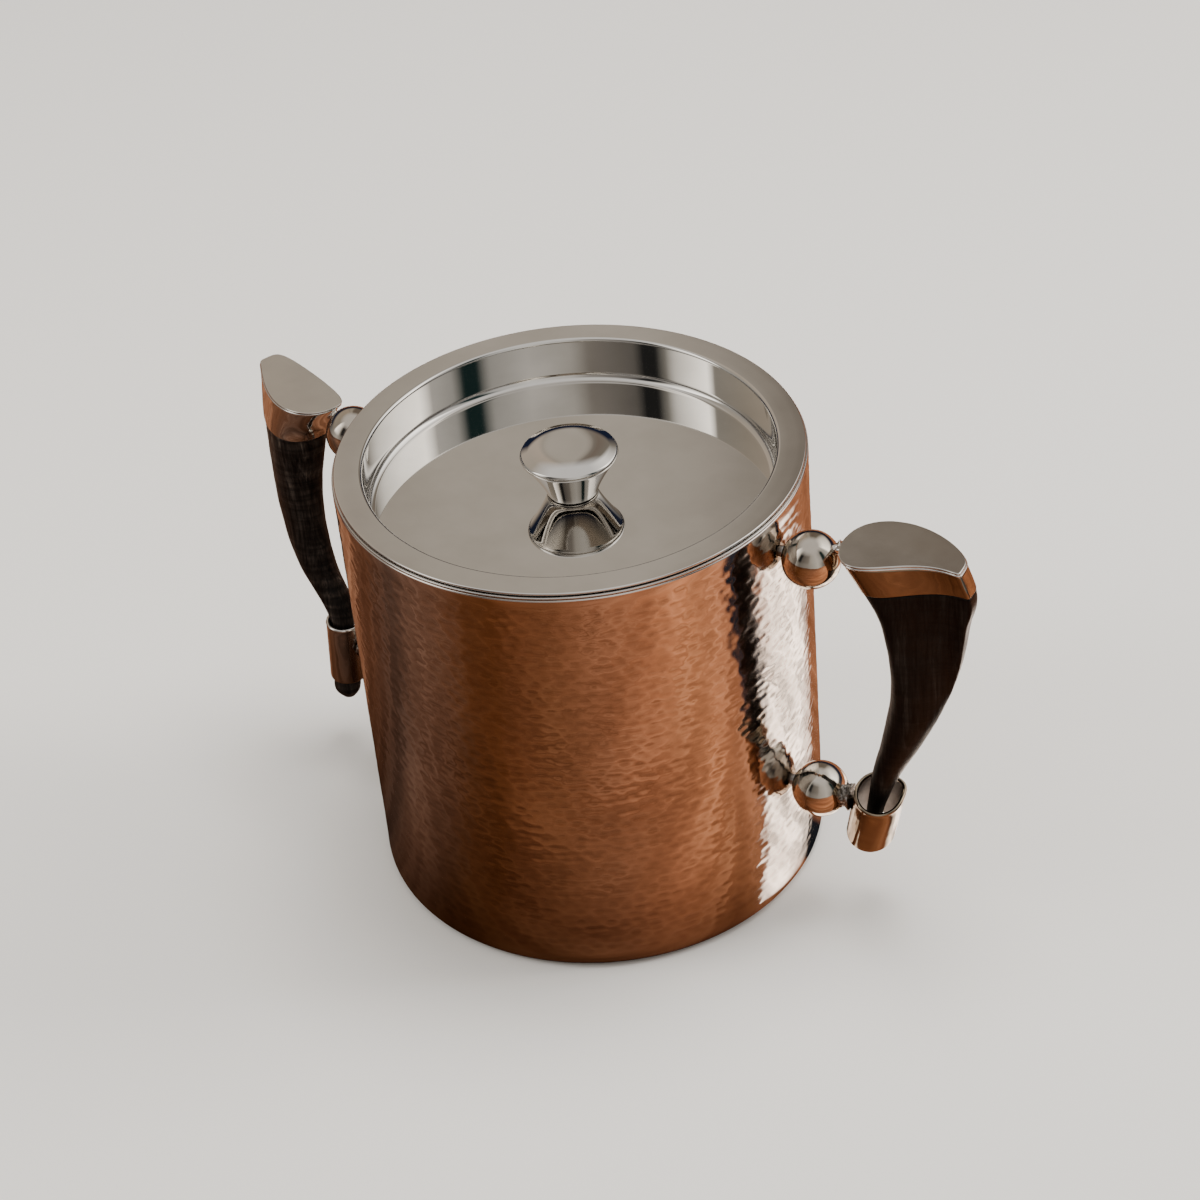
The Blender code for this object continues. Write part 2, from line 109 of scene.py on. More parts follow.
# Horn stations from the cap down: height, inner edge (x, y), outer edge (x, y), thickness
RIGHT_HORN = (
    (192, (127.9, -7.4), (178.4, 3.4), 30.0),
    (177, (136.6, -5.8), (184.1, 3.0), 27.0),
    (164, (144.4, -5.2), (181.6, 3.6), 24.0),
    (144.5, (148.0, -4.2), (178.8, 2.4), 21.5),
    (123.5, (148.2, -3.8), (173.2, 0.9), 18.5),
    (98.5, (144.0, -3.6), (162.6, -0.2), 15.0),
    (76.5, (139.2, -3.4), (151.7, -0.9), 11.5),
    (60, (137.0, -3.4), (145.5, -1.5), 8.6),
    (46, (134.5, -2.0), (141.5, -1.0), 7.0),
)
LEFT_HORN = (
    (192, (121.2, -10.6), (176.3, -27.1), 19.5),
    (177, (132.1, -11.8), (176.2, -25.0), 18.5),
    (164, (135.4, -10.6), (174.2, -22.6), 17.5),
    (144.5, (140.3, -10.2), (171.3, -18.7), 16.0),
    (123.5, (141.6, -8.6), (167.1, -14.6), 14.5),
    (98.5, (138.3, -6.9), (158.8, -8.9), 13.0),
    (76.5, (130.2, -5.0), (145.2, -3.5), 11.0),
    (60, (129.8, -4.5), (142.5, -3.0), 10.5),
    (44, (131.5, -4.5), (145.0, -3.0), 10.5),
    (34, (133.5, -4.5), (147.5, -3.5), 10.0),
    (27.5, (134.8, -4.0), (148.0, -3.5), 9.3),
    (23, (138.0, -2.5), (145.5, -2.5), 5.0),
)
# Sleeve: bottom centre, top centre, half widths radial/tangential, share of the corner
RIGHT_SLEEVE = ((135.0, 5.0, 38.0), (142.5, -1.0, 67.0), 10.4, 11.8, 0.16)
LEFT_SLEEVE = ((138.2, 0.0, 38.5), (135.6, 0.0, 71.5), 8.8, 9.8, 0.0)
SLEEVE_POINTS = 120
SLEEVE_LIP = 0.95
CORNER_ANGLE = 47.0
CORNER_SPREAD = 0.42
# Where the welds of the upper and lower ball end
RIGHT_WELDS = ((125.6, 4.2, 189.4), (128.0, 0.6, 58.3))
LEFT_WELDS = ((124.6, -1.6, 188.5), (127.0, 0.0, 58.3))
# Bottom of the collar and how far it rises towards the outer end
RIGHT_CAP = (177.0, 4.0)
LEFT_CAP = (172.0, 3.5)
CAP_TOP = 192.0
CAP_PLATE = 1.2
CAP_SHEET = 1.0
HORN_CLEARANCE = 0.5
HORN_INSET = 0.3
# Rows below the collar over which the horn's rings turn level
LEVEL_AFTER = 24
SLEEVE_SHEET = 1.0
LEAF_POINTS = 120
LEAF_DRAFT = 480
# Section at the cap: lift of the inner and outer end off the chord, width on the far and near
# side, all as shares of the thickness, and the exponents of both sides at both ends
RIGHT_LEAF = ((0.41, 0.11, 0.73, 0.48), (0.42, 0.61, 0.64, 2.60), 3.2)
LEFT_LEAF = ((0.47, 0.23, 0.83, 0.47), (0.49, 0.95, 0.22, 0.24), 2.0)
OVAL_LEAF = ((0.40, 0.40, 0.60, 0.60), (0.50, 0.50, 0.50, 0.50), 0.0)
LEAF_FROM = 170.0
OVAL_FROM = 105.0


# Materials

def add_node(tree, kind, inputs, **settings):
    """Node with its settings; an input given a socket is linked, any other value is set."""
    node = tree.nodes.new("ShaderNode" + kind)
    for key, value in settings.items():
        setattr(node, key, value)
    fill(tree, node, inputs)
    return node


def fill(tree, node, inputs):
    for key, value in inputs.items():
        if isinstance(value, bpy.types.NodeSocket):
            tree.links.new(value, node.inputs[key])
        else:
            node.inputs[key].default_value = value


def new_material(name):
    mat = bpy.data.materials.new(name)
    mat.use_nodes = True
    return mat, mat.node_tree, mat.node_tree.nodes["Principled BSDF"]


def object_point(tree):
    return add_node(tree, "TexCoord", {}).outputs["Object"]


def mapped(tree, scale):
    """Object coordinates, in metres times the given scale."""
    inputs = {"Vector": object_point(tree), "Scale": scale}
    return add_node(tree, "Mapping", inputs).outputs["Vector"]


def noise(tree, vector, scale, detail=4.0, roughness=0.55, distortion=0.0):
    inputs = {"Vector": vector, "Scale": scale, "Detail": detail, "Roughness": roughness,
              "Distortion": distortion}
    return add_node(tree, "TexNoise", inputs).outputs["Fac"]


def ramp(tree, factor, stops):
    node = add_node(tree, "ValToRGB", {"Fac": factor})
    elements = node.color_ramp.elements
    while len(elements) < len(stops):
        elements.new(0.5)
    for element, (place, colour) in zip(elements, stops):
        element.position = place
        element.color = (*colour, 1.0)
    return node.outputs["Color"]


def azimuth_ramp(tree, angle, stops):
    """Colours at azimuths in degrees, looked up by an angle in radians."""
    turn = remap(tree, angle, -math.pi, math.pi, 0.0, 1.0)
    return ramp(tree, turn, [((degrees + 180.0) / 360.0, colour) for degrees, colour in stops])


def remap(tree, value, low, high, to_low, to_high):
    limits = {"From Min": low, "From Max": high, "To Min": to_low, "To Max": to_high}
    return add_node(tree, "MapRange", {"Value": value, **limits}).outputs["Result"]


def maths(tree, operation, first, second):
    return add_node(tree, "Math", {0: first, 1: second}, operation=operation).outputs["Value"]


def mixed(tree, first, second, share, blend="MIX"):
    inputs = {"Factor": share, 6: first, 7: second}
    return add_node(tree, "Mix", inputs, data_type="RGBA", blend_type=blend).outputs[2]


def multiplied(tree, first, second, share=1.0):
    return mixed(tree, first, second, share, "MULTIPLY")


def bump(tree, height, distance, strength=1.0, below=None):
    inputs = {"Height": height, "Distance": distance, "Strength": strength}
    if below is not None:
        inputs["Normal"] = below
    return add_node(tree, "Bump", inputs).outputs["Normal"]


def steel_material(name, dark, light, rough, scratch, wave=0.0):
    """Polished steel: faint tone changes, smudged roughness and hair-fine scratches."""
    mat, tree, shader = new_material(name)
    space = mapped(tree, (1.0, 1.0, 1.0))
    tone = noise(tree, space, 38.0, 3.0)
    smudge = noise(tree, space, 55.0, 6.0, 0.65)
    lines = noise(tree, space, 900.0, 2.0, 0.6, 0.4)
    normal = bump(tree, lines, scratch)
    if wave > 0.0:
        slow = noise(tree, space, 60.0, 2.0, 0.5)
        normal = bump(tree, slow, wave, below=normal)
    fill(tree, shader, {
        "Metallic": 1.0,
        "Base Color": ramp(tree, tone, ((0.35, dark), (0.65, light))),
        "Roughness": remap(tree, smudge, 0.35, 0.7, *rough),
        "Normal": normal,
    })
    return mat


def turned_steel_material(name, dark, light, rough, ring_height):
    """Satin steel brushed in rings about the Z axis."""
    mat, tree, shader = new_material(name)
    point = object_point(tree)
    split = add_node(tree, "SeparateXYZ", {"Vector": point}).outputs
    flat = add_node(tree, "CombineXYZ", {"X": split["X"], "Y": split["Y"]}).outputs["Vector"]
    radius = add_node(tree, "VectorMath", {0: flat}, operation="LENGTH").outputs["Value"]
    rings = add_node(tree, "CombineXYZ", {"X": radius, "Y": split["Z"]}).outputs["Vector"]
    lines = noise(tree, rings, 2400.0, 3.0, 0.7)
    tone = noise(tree, point, 30.0, 4.0)
    fill(tree, shader, {
        "Metallic": 1.0,
        "Base Color": ramp(tree, tone, ((0.3, dark), (0.7, light))),
        "Roughness": remap(tree, lines, 0.3, 0.7, *rough),
        "Normal": bump(tree, lines, ring_height),
    })
    return mat


def weld_material(name):
    """Dull pitted weld metal with brighter worn tops."""
    mat, tree, shader = new_material(name)
    grain = noise(tree, mapped(tree, (1.0, 1.0, 1.0)), 900.0, 5.0, 0.7)
    stops = ((0.38, (0.05, 0.045, 0.04)), (0.5, (0.25, 0.23, 0.21)), (0.62, (0.62, 0.6, 0.57)))
    fill(tree, shader, {
        "Metallic": 1.0,
        "Base Color": ramp(tree, grain, stops),
        "Roughness": remap(tree, grain, 0.35, 0.65, 0.5, 0.18),
        "Normal": bump(tree, grain, 0.0003),
    })
    return mat


# Colour of the horn from its darkest to its palest streaks
HORN_STREAKS = (
    (0.30, (0.0012, 0.0009, 0.0008)),
    (0.52, (0.0026, 0.0020, 0.0017)),
    (0.68, (0.0080, 0.0064, 0.0054)),
    (0.82, (0.0210, 0.0175, 0.0150)),
)


def horn_material(name, growth_strength, tone):
    """Dark water-buffalo horn: long fibres, growth lines across them and a scuffed matt polish."""
    mat, tree, shader = new_material(name)
    fibres = noise(tree, mapped(tree, (1.0, 1.0, 0.05)), 1100.0, 6.0, 0.62, 0.4)
    streaks = noise(tree, mapped(tree, (1.0, 1.0, 0.10)), 150.0, 4.0, 0.6, 0.8)
    growth = noise(tree, mapped(tree, (0.10, 0.10, 1.0)), 330.0, 3.0, 0.55, 0.3)
    patches = noise(tree, mapped(tree, (1.0, 1.0, 0.6)), 42.0, 5.0, 0.6)
    toned = [(place, tuple(tone * part for part in colour)) for place, colour in HORN_STREAKS]
    fine = ramp(tree, fibres, ((0.34, (0.10, 0.10, 0.10)), (0.66, (4.2, 4.0, 3.8))))
    cross = ramp(tree, growth, ((0.38, (0.45, 0.45, 0.45)), (0.62, (1.8, 1.75, 1.7))))
    colour = multiplied(tree, ramp(tree, streaks, toned), fine)
    normal = bump(tree, fibres, 0.00016, 0.9)
    fill(tree, shader, {
        "Base Color": multiplied(tree, colour, cross, growth_strength),
        "Roughness": remap(tree, patches, 0.3, 0.7, 0.34, 0.58),
        "Specular IOR Level": 0.18,
        "Normal": bump(tree, growth, 0.00030, growth_strength, below=normal),
    })
    return mat


def hammered_material(name):
    """Polished steel with painted shade: the colour is a little darker in the hollows of the
    hammer marks than on the ridges.
    """
    mat = steel_material(name, (0.62, 0.57, 0.53), (0.70, 0.65, 0.61), (0.06, 0.13), 0.000006)
    tree = mat.node_tree
    shader = tree.nodes["Principled BSDF"]
    mark = add_node(tree, "Attribute", {}, attribute_name="mark").outputs["Fac"]
    # Painted shade: the hollows of the hammer marks are darkened.
    hollow_shade = ramp(tree, mark, (
        (0.0, (1.0, 1.0, 1.0)),
        (0.25, (0.97, 0.96, 0.95)),
        (0.9, (0.80, 0.78, 0.76)),
    ))
    steel = shader.inputs["Base Color"].links[0].from_socket
    fill(tree, shader, {"Base Color": multiplied(tree, steel, hollow_shade)})
    return mat


HAMMERED = hammered_material("hammered_steel_fine")
POLISHED = steel_material(
    "polished_steel_fine", (0.64, 0.62, 0.59), (0.70, 0.68, 0.65), (0.02, 0.05), 0.0000005)
HAND_WORK = (0.000006, 0.0004)
HAND_POLISHED = steel_material(
    "hand_polished_steel", (0.60, 0.57, 0.53), (0.70, 0.67, 0.63), (0.04, 0.12), *HAND_WORK)
# Darker, warmer copy of the polished steel: painted shade and painted warm reflection on the
# balls.
BALL_SHADED_STEEL = steel_material(
    "ball_steel_painted_shade", (0.48, 0.43, 0.37), (0.58, 0.53, 0.46), (0.04, 0.12), *HAND_WORK)
# Darker copy of the polished steel: painted shade on the right collar and the right sleeve.
RIGHT_SHADED_STEEL = steel_material(
    "right_collar_painted_shade", (0.26, 0.21, 0.15), (0.33, 0.28, 0.22), (0.05, 0.12), *HAND_WORK)
LEFT_COLLAR = steel_material(
    "left_collar_steel", (0.66, 0.64, 0.60), (0.76, 0.73, 0.69), (0.05, 0.12), *HAND_WORK)
COLLARS = {"right": RIGHT_SHADED_STEEL, "left": LEFT_COLLAR}
SLEEVES = {"right": RIGHT_SHADED_STEEL, "left": HAND_POLISHED}
PLATE = steel_material(
    "cap_plate_steel", (0.62, 0.60, 0.57), (0.68, 0.66, 0.62), (0.10, 0.20), 0.000004)
SOLDER = steel_material(
    "solder_silver", (0.72, 0.71, 0.69), (0.82, 0.81, 0.79), (0.10, 0.22), 0.00001)
# Near-black lining: painted shade inside the sleeves.
SLEEVE_SHADE = steel_material(
    "sleeve_painted_shade", (0.05, 0.045, 0.04), (0.11, 0.10, 0.09), (0.35, 0.55), 0.00003)
LINER = turned_steel_material(
    "liner_steel_fine", (0.55, 0.54, 0.52), (0.64, 0.63, 0.61), (0.16, 0.30), 0.00001)
FASTENER = turned_steel_material(
    "fastener_steel_fine", (0.36, 0.36, 0.37), (0.48, 0.48, 0.49), (0.28, 0.42), 0.00002)
WELD = weld_material("weld_metal")
HORNS = {
    "right": horn_material("dark_horn_fibrous", 0.45, 0.7),
    "left": horn_material("dark_horn_ringed", 0.9, 2.2),
}


# Meshes

def waves(x, seed, count=6, low=2, high=9):
    """Smooth periodic ripple of an angle, in -1..1."""
    draw = np.random.default_rng(seed)
    total = np.zeros_like(x)
    weight = 0.0
    for _ in range(count):
        turns = int(draw.integers(low, high))
        size = draw.uniform(0.4, 1.0)
        total += size * np.sin(turns * x + draw.uniform(0.0, 2.0 * math.pi))
        weight += size
    return total / weight


def lumps(points, seed, size, count=10):
    """Smooth random field in about -1..1 at points; size is the wavelength in millimetres."""
    draw = np.random.default_rng(seed)
    total = np.zeros(len(points))
    for _ in range(count):
        direction = draw.normal(size=3)
        direction /= np.linalg.norm(direction)
        step = 2.0 * math.pi / (size * draw.uniform(0.6, 1.6))
        total += np.sin(points @ direction * step + draw.uniform(0.0, 2.0 * math.pi))
    return total / math.sqrt(count)


def add_mesh(name, points, faces, mat, body, replaced=()):
    """One piece from points in millimetres, shaded with area-weighted normals."""
    mesh = bpy.data.meshes.new(name)
    mesh.from_pydata((np.asarray(points) * MM).tolist(), [], faces)
    mesh.validate()
    mesh.update()
    mesh.shade_smooth()
    weigh_normals(mesh)
    mesh.materials.append(mat)
    obj = bpy.data.objects.new(name, mesh)
    bpy.context.scene.collection.objects.link(obj)
    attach(obj, body)
    if replaced:
        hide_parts(*replaced)
    return obj


def read_all(items, key, width, kind):
    values = np.zeros(len(items) * width, kind)
    items.foreach_get(key, values)
    return values


def weigh_normals(mesh):
    """Vertex normals weighted by face area keep big flats flat beside fine roundings."""
    normals = read_all(mesh.polygons, "normal", 3, np.float32).reshape(-1, 3)
    areas = read_all(mesh.polygons, "area", 1, np.float32)
    totals = read_all(mesh.polygons, "loop_total", 1, np.int32)
    corner = read_all(mesh.loops, "vertex_index", 1, np.int32)
    owner = np.repeat(np.arange(len(totals)), totals)
    weighted = normals * areas[:, None]
    total = np.zeros((len(mesh.vertices), 3))
    np.add.at(total, corner, weighted[owner])
    total /= np.maximum(np.linalg.norm(total, axis=1, keepdims=True), 1e-20)
    mesh.normals_split_custom_set_from_vertices(total.tolist())


def arc(centre_r, centre_z, radius, start_degrees, end_degrees, steps):
    points = []
    for i in range(steps + 1):
        angle = math.radians(start_degrees + (end_degrees - start_degrees) * i / steps)
        points.append((centre_r + radius * math.cos(angle), centre_z + radius * math.sin(angle)))
    return points


def line(start, end, steps):
    """Points after start up to and including end."""
    return [
        (start[0] + (end[0] - start[0]) * i / steps, start[1] + (end[1] - start[1]) * i / steps)
        for i in range(1, steps + 1)
    ]


def grid_faces(rows, count, closed):
    """Quads over rows of count points each; the rows run down the outer side."""
    faces = []
    last = rows if closed else rows - 1
    for r in range(last):
        a = r * count
        b = ((r + 1) % rows) * count
        for k in range(count):
            n = (k + 1) % count
            faces.append((a + k, b + k, b + n, a + n))
    return faces


def capped_faces(rows, count):
    """Open grid closed by two poles, which come after its points."""
    faces = grid_faces(rows, count, False)
    pole = rows * count
    base = pole - count
    for k in range(count):
        n = (k + 1) % count
        faces.append((pole, k, n))
        faces.append((base + k, pole + 1, base + n))
    return faces


def lathe_points(profile, segments):
    angles = np.arange(segments) * (2.0 * math.pi / segments)
    profile = np.asarray(profile, float)
    x = profile[:, 0, None] * np.cos(angles)
    y = profile[:, 0, None] * np.sin(angles)
    z = np.repeat(profile[:, 1, None], segments, axis=1)
    return np.stack((x, y, z), axis=2)


def turned_solid(name, profile, segments, mat, body, replaced=(), shape=None, place=None):
    """Turned piece that starts and ends on the axis; shape may move the grid of points."""
    rows = len(profile) - 2
    grid = lathe_points(profile[1:-1], segments)
    if shape is not None:
        grid = shape(grid)
    poles = np.array([(0.0, 0.0, profile[0][1]), (0.0, 0.0, profile[-1][1])])
    points = np.concatenate((grid.reshape(-1, 3), poles))
    if place is not None:
        points = moved(points, place)
    faces = capped_faces(rows, segments)
    return add_mesh(name, points, faces, mat, body, replaced)


def turned_ring(name, profile, segments, mat, body, replaced, shape=None):
    """Turned piece whose closed section stays clear of the axis."""
    grid = lathe_points(profile, segments)
    if shape is not None:
        grid = shape(grid)
    faces = grid_faces(len(profile), segments, True)
    return add_mesh(name, grid.reshape(-1, 3), faces, mat, body, replaced)


def moved(points, place):
    matrix = np.array(place, float)
    return points @ matrix[:3, :3].T + matrix[:3, 3]


def lofted(name, rings, mat, body, replaced=(), closed=False):
    rings = np.asarray(rings, float)
    rows, count = rings.shape[:2]
    points = rings.reshape(-1, 3)
    if closed:
        faces = grid_faces(rows, count, True)
    else:
        poles = np.array([rings[0].mean(axis=0), rings[-1].mean(axis=0)])
        faces = capped_faces(rows, count)
        points = np.concatenate((points, poles))
    return add_mesh(name, points, faces, mat, body, replaced)


# Bucket

def hammer_field(angle, height):
    """Depth of the overlapping hammer marks, 0 on the ridges, at points of the wall."""
    around = int(round(2.0 * math.pi * WALL_RADIUS / MARK_WIDTH))
    width = 2.0 * math.pi * WALL_RADIUS / around
    rows = int(WALL_TOP / MARK_HEIGHT) + 6
    draw = np.random.default_rng(41)
    jitter_u = draw.uniform(-0.30, 0.30, (rows, around))
    jitter_v = draw.uniform(-0.26, 0.26, (rows, around))
    depth = MARK_DEPTH * draw.uniform(0.55, 1.25, (rows, around))
    shift = np.cumsum(draw.uniform(0.35, 0.65, rows))
    u = angle * WALL_RADIUS / width
    v = height / MARK_HEIGHT + 0.35 * np.sin(3.0 * angle + 0.8) + 2.0
    base_row = np.floor(v).astype(int)
    total = np.zeros_like(u)
    for dr in (-2, -1, 0, 1, 2):
        row = np.clip(base_row + dr, 0, rows - 1)
        base_column = np.floor(u - shift[row]).astype(int)
        for dc in (-1, 0, 1, 2):
            column = base_column + dc
            index = column % around
            centre_u = column + 0.5 + shift[row] + jitter_u[row, index]
            centre_v = row + 0.5 + jitter_v[row, index]
            reach = ((u - centre_u) / 0.62) ** 2 + ((v - centre_v) / 0.66) ** 2
            mark = depth[row, index] * (reach - 1.0)
            total += np.exp(-np.minimum(mark, 0.3) / MARK_SOFTNESS)
    return np.minimum(-MARK_SOFTNESS * np.log(total), 0.0)


def cylindrical(grid):
    """Radius, angle and height of every point of a turned grid."""
    x, y, z = grid[..., 0], grid[..., 1], grid[..., 2]
    return np.hypot(x, y), np.arctan2(y, x), z


def pushed(grid, radius, drop, rise=0.0):
    """Turned grid with its points moved outwards by drop and up by rise."""
    factor = 1.0 + drop / np.maximum(radius, 1.0)
    return np.stack((grid[..., 0] * factor, grid[..., 1] * factor, grid[..., 2] + rise), axis=2)


def hammered(grid):
    """Hammer marks and a slow unevenness on the outer wall."""
    radius, angle, z = cylindrical(grid)
    on_wall = np.clip((radius - (WALL_RADIUS - 0.4)) / 0.3, 0.0, 1.0)
    fade = np.clip((z - MARKED_FROM) / 4.0, 0.0, 1.0) * np.clip((MARKED_TO - z) / 3.0, 0.0, 1.0)
    slow = 0.10 * waves(angle, 5, 8, 3, 14) * np.sin(z * 0.05 + 1.0)
    slow += 0.06 * np.sin(0.16 * z + 4.0 * waves(angle, 9, 5, 2, 7))
    marks = hammer_field(angle, z) * on_wall * fade
    drop = marks + (slow - 0.16) * 0.5 * on_wall * fade
    return pushed(grid, radius, drop), marks


def make_shell():
    outer = WALL_RADIUS
    inner = outer - WALL_SHEET
    lip = outer - LIP_WIDTH
    profile = [(0.0, WALL_SHEET)]
    profile += line(profile[0], (inner - WALL_CORNER, WALL_SHEET), 2)[:-1]
    profile += arc(inner - WALL_CORNER, WALL_SHEET + WALL_CORNER, WALL_CORNER, -90, 0, 4)
    profile += [(inner, WALL_TOP - WALL_SHEET), (lip, WALL_TOP - WALL_SHEET), (lip, WALL_TOP)]
    profile += line((lip, WALL_TOP), (outer - 0.9, WALL_TOP), 1)
    profile += arc(outer - 0.9, WALL_TOP - 0.9, 0.9, 90, 0, 5)[1:]
    wall_rows = int((WALL_TOP - 0.9 - WALL_CORNER) / SHELL_ROW)
    profile += line((outer, WALL_TOP - 0.9), (outer, WALL_CORNER), wall_rows)
    profile += arc(outer - WALL_CORNER, WALL_CORNER, WALL_CORNER, 0, -90, 8)[1:]
    profile += line((outer - WALL_CORNER, 0.0), (0.0, 0.0), 3)
    marks = []

    def shape(grid):
        moved_grid, depth = hammered(grid)
        marks.append(np.concatenate((depth.reshape(-1), (0.0, 0.0))))
        return moved_grid

    shell = turned_solid("hammered_shell", profile, SHELL_SEGMENTS, HAMMERED, "bucket",
                         ("outer_shell",), shape=shape)
    depth = shell.data.attributes.new("mark", "FLOAT", "POINT")
    depth.data.foreach_set("value", (-marks[0] / MARK_DEPTH).astype(np.float32))


def crimped(grid):
    """Slightly uneven rolled edge of the rim."""
    radius, angle, z = cylindrical(grid)
    on_edge = np.clip((radius - (WALL_RADIUS - 1.2)) / 0.9, 0.0, 1.0)
    ripple = 0.5 * waves(angle, 3, 8, 5, 17) + 0.5 * waves(angle, 4, 10, 30, 90)
    rise = on_edge * (0.05 * waves(angle, 6, 10, 20, 70) - 0.04)
    rise = np.where(z > RIM_TOP - 1.2, rise, 0.0)
    return pushed(grid, radius, on_edge * (0.07 * ripple - 0.05), rise)


def make_liner():
    inner = LINER_RADIUS
    outer = inner + RIM_SHEET
    floor = LINER_LOW.z + RIM_SHEET
    under = RIM_TOP - RIM_SHEET
    profile = [(0.0, floor)]
    profile += line((0.0, floor), (inner - LINER_CORNER, floor), 4)[:-1]
    profile += arc(inner - LINER_CORNER, floor + LINER_CORNER, LINER_CORNER, -90, 0, 12)
    profile += line((inner, floor + LINER_CORNER), (inner, RIM_TOP - 1.5), 24)[:-1]
    profile += arc(inner + 1.5, RIM_TOP - 1.5, 1.5, 180, 90, 7)
    profile += line((inner + 1.5, RIM_TOP), (WALL_RADIUS - 1.2, RIM_TOP), 4)
    profile += arc(WALL_RADIUS - 0.5, RIM_TOP - 0.5, 0.5, 90, -90, 10)
    profile += [(outer, under)]
    corner = LINER_CORNER + RIM_SHEET
    profile += arc(outer - corner, LINER_LOW.z + corner, corner, 0, -90, 8)
    profile += [(0.0, LINER_LOW.z)]
    turned_solid("liner_with_rim", profile, 288, LINER, "bucket",
                 ("inner_liner",), shape=crimped)


# Lid

def spun(grid):
    """Slight unevenness that metal spinning leaves in the dish wall."""
    radius, angle, z = cylindrical(grid)
    depth = (LID_TOP - z) / (LID_TOP - DISH_FLOOR)
    on_wall = np.clip((radius - 80.0) / 4.0, 0.0, 1.0) * np.clip((92.0 - radius) / 2.0, 0.0, 1.0)
    ripple = waves(angle, 51, 7, 3, 15)
    ripple += 0.7 * np.sin(math.pi * depth) * waves(angle, 52, 7, 5, 22)
    return pushed(grid, radius, 0.10 * on_wall * ripple)


def make_lid():
    profile = [(LID_BORE_RADIUS, DISH_FLOOR)]
    profile += line(profile[0], (DISH_RADIUS - DISH_FILLET, DISH_FLOOR), 12)[:-1]
    profile += arc(DISH_RADIUS - DISH_FILLET, DISH_FLOOR + DISH_FILLET, DISH_FILLET, -90, 0, 12)
    profile += arc(DISH_RADIUS + DISH_EDGE, LID_TOP - DISH_EDGE, DISH_EDGE, 180, 90, 9)
    half = LID_SHEET / 2.0
    profile += line((DISH_RADIUS + DISH_EDGE, LID_TOP), (LID_RADIUS - half, LID_TOP), 3)[:-1]
    profile += arc(LID_RADIUS - half, LID_TOP - half, half, 90, -90, 10)
    outside = DISH_RADIUS + LID_SHEET
    under = DISH_FLOOR - LID_SHEET
    profile += [(outside, LID_TOP - LID_SHEET)]
    fillet = DISH_FILLET + LID_SHEET
    profile += arc(outside - fillet, under + fillet, fillet, 0, -90, 8)
    profile += [(LID_BORE_RADIUS, under)]
    turned_ring("lid_pan", profile, 320, POLISHED, "lid", ("lid_shell",),
                shape=spun)
    make_knob()
    profile = ring_section(2.6, WASHER_HIGH.x, WASHER_LOW.z, WASHER_HIGH.z, 0.2)
    turned_ring("lid_washer", profile, 72, FASTENER, "lid", ("knob_washer",))
    make_lid_screw()


def make_knob():
    """Flared knob: low crown, rounded edge and a waist that narrows down to the dish."""
    foot = KNOB_LOW.z
    crown = KNOB_HIGH.z
    profile = []
    steps = 24
    for i in range(steps):
        share = i / steps
        drop = (KNOB_CROWN - KNOB_EDGE) * share ** KNOB_DOME
        profile.append(((KNOB_RADIUS - KNOB_EDGE) * share, crown - drop))
    profile += arc(KNOB_RADIUS - KNOB_EDGE, KNOB_RIM_Z, KNOB_EDGE, 58, -60, 16)
    steps = 20
    start_r, start_z = profile[-1]
    for i in range(1, steps + 1):
        share = i / steps
        height = start_z + (foot + 0.4 - start_z) * share
        flare = (1.0 - share) ** KNOB_FLARE
        profile.append((KNOB_FOOT_RADIUS + (start_r - KNOB_FOOT_RADIUS) * flare, height))
    bore_end = foot + KNOB_BORE_DEPTH
    profile += [(KNOB_FOOT_RADIUS - 0.4, foot), (KNOB_BORE_RADIUS, foot)]
    profile += [(KNOB_BORE_RADIUS, bore_end), (0.0, bore_end)]
    turned_solid("lid_knob", profile, 160, POLISHED, "lid", ("knob",))


def ring_section(inner, outer, bottom, top, edge):
    """Ring profile with small rounded edges, from the top inner corner round to the bottom."""
    profile = [(inner, top)]
    profile += arc(outer - edge, top - edge, edge, 90, 0, 3)
    profile += arc(outer - edge, bottom + edge, edge, 0, -90, 3)
    profile += [(inner, bottom)]
    return profile


def make_lid_screw():
    """Hex-headed screw with a chamfered head and rolled thread."""
    seat = WASHER_LOW.z - GAP
    bottom = SCREW_LOW.z
    half = 4.0
    segments = 96
    pitch = 0.8
    thread_top = SCREW_HIGH.z - 0.4
    rows = [(0.4, SCREW_HIGH.z, "plain"), (2.0, SCREW_HIGH.z, "plain")]
    rows.append((2.45, thread_top, "thread"))
    for _, height in line((0.0, thread_top), (0.0, seat), 56):
        rows.append((2.45, height, "thread"))
    rows += [(half - 0.3, seat, "plain"), (half, seat - 0.05, "hex"), (half, bottom + 0.5, "hex")]
    rows += [(half * 0.93, bottom + 0.1, "plain"), (half * 0.88, bottom, "plain")]
    rows.append((0.4, bottom, "plain"))
    angles = np.arange(segments) * (2.0 * math.pi / segments)
    rings = []
    for radius, height, kind in rows:
        reach = np.full(segments, radius)
        if kind == "thread":
            reach = radius - 0.18 * (0.5 - 0.5 * np.cos(2.0 * math.pi * height / pitch + angles))
        if kind == "hex":
            reach = radius / np.cos((angles % (math.pi / 3.0)) - math.pi / 6.0)
            reach = np.minimum(reach, half * 1.13)
        level = np.full(segments, height)
        rings.append(np.stack((reach * np.cos(angles), reach * np.sin(angles), level), axis=1))
    lofted("lid_screw", rings, FASTENER, "lid", ("knob_screw",))


# Handles

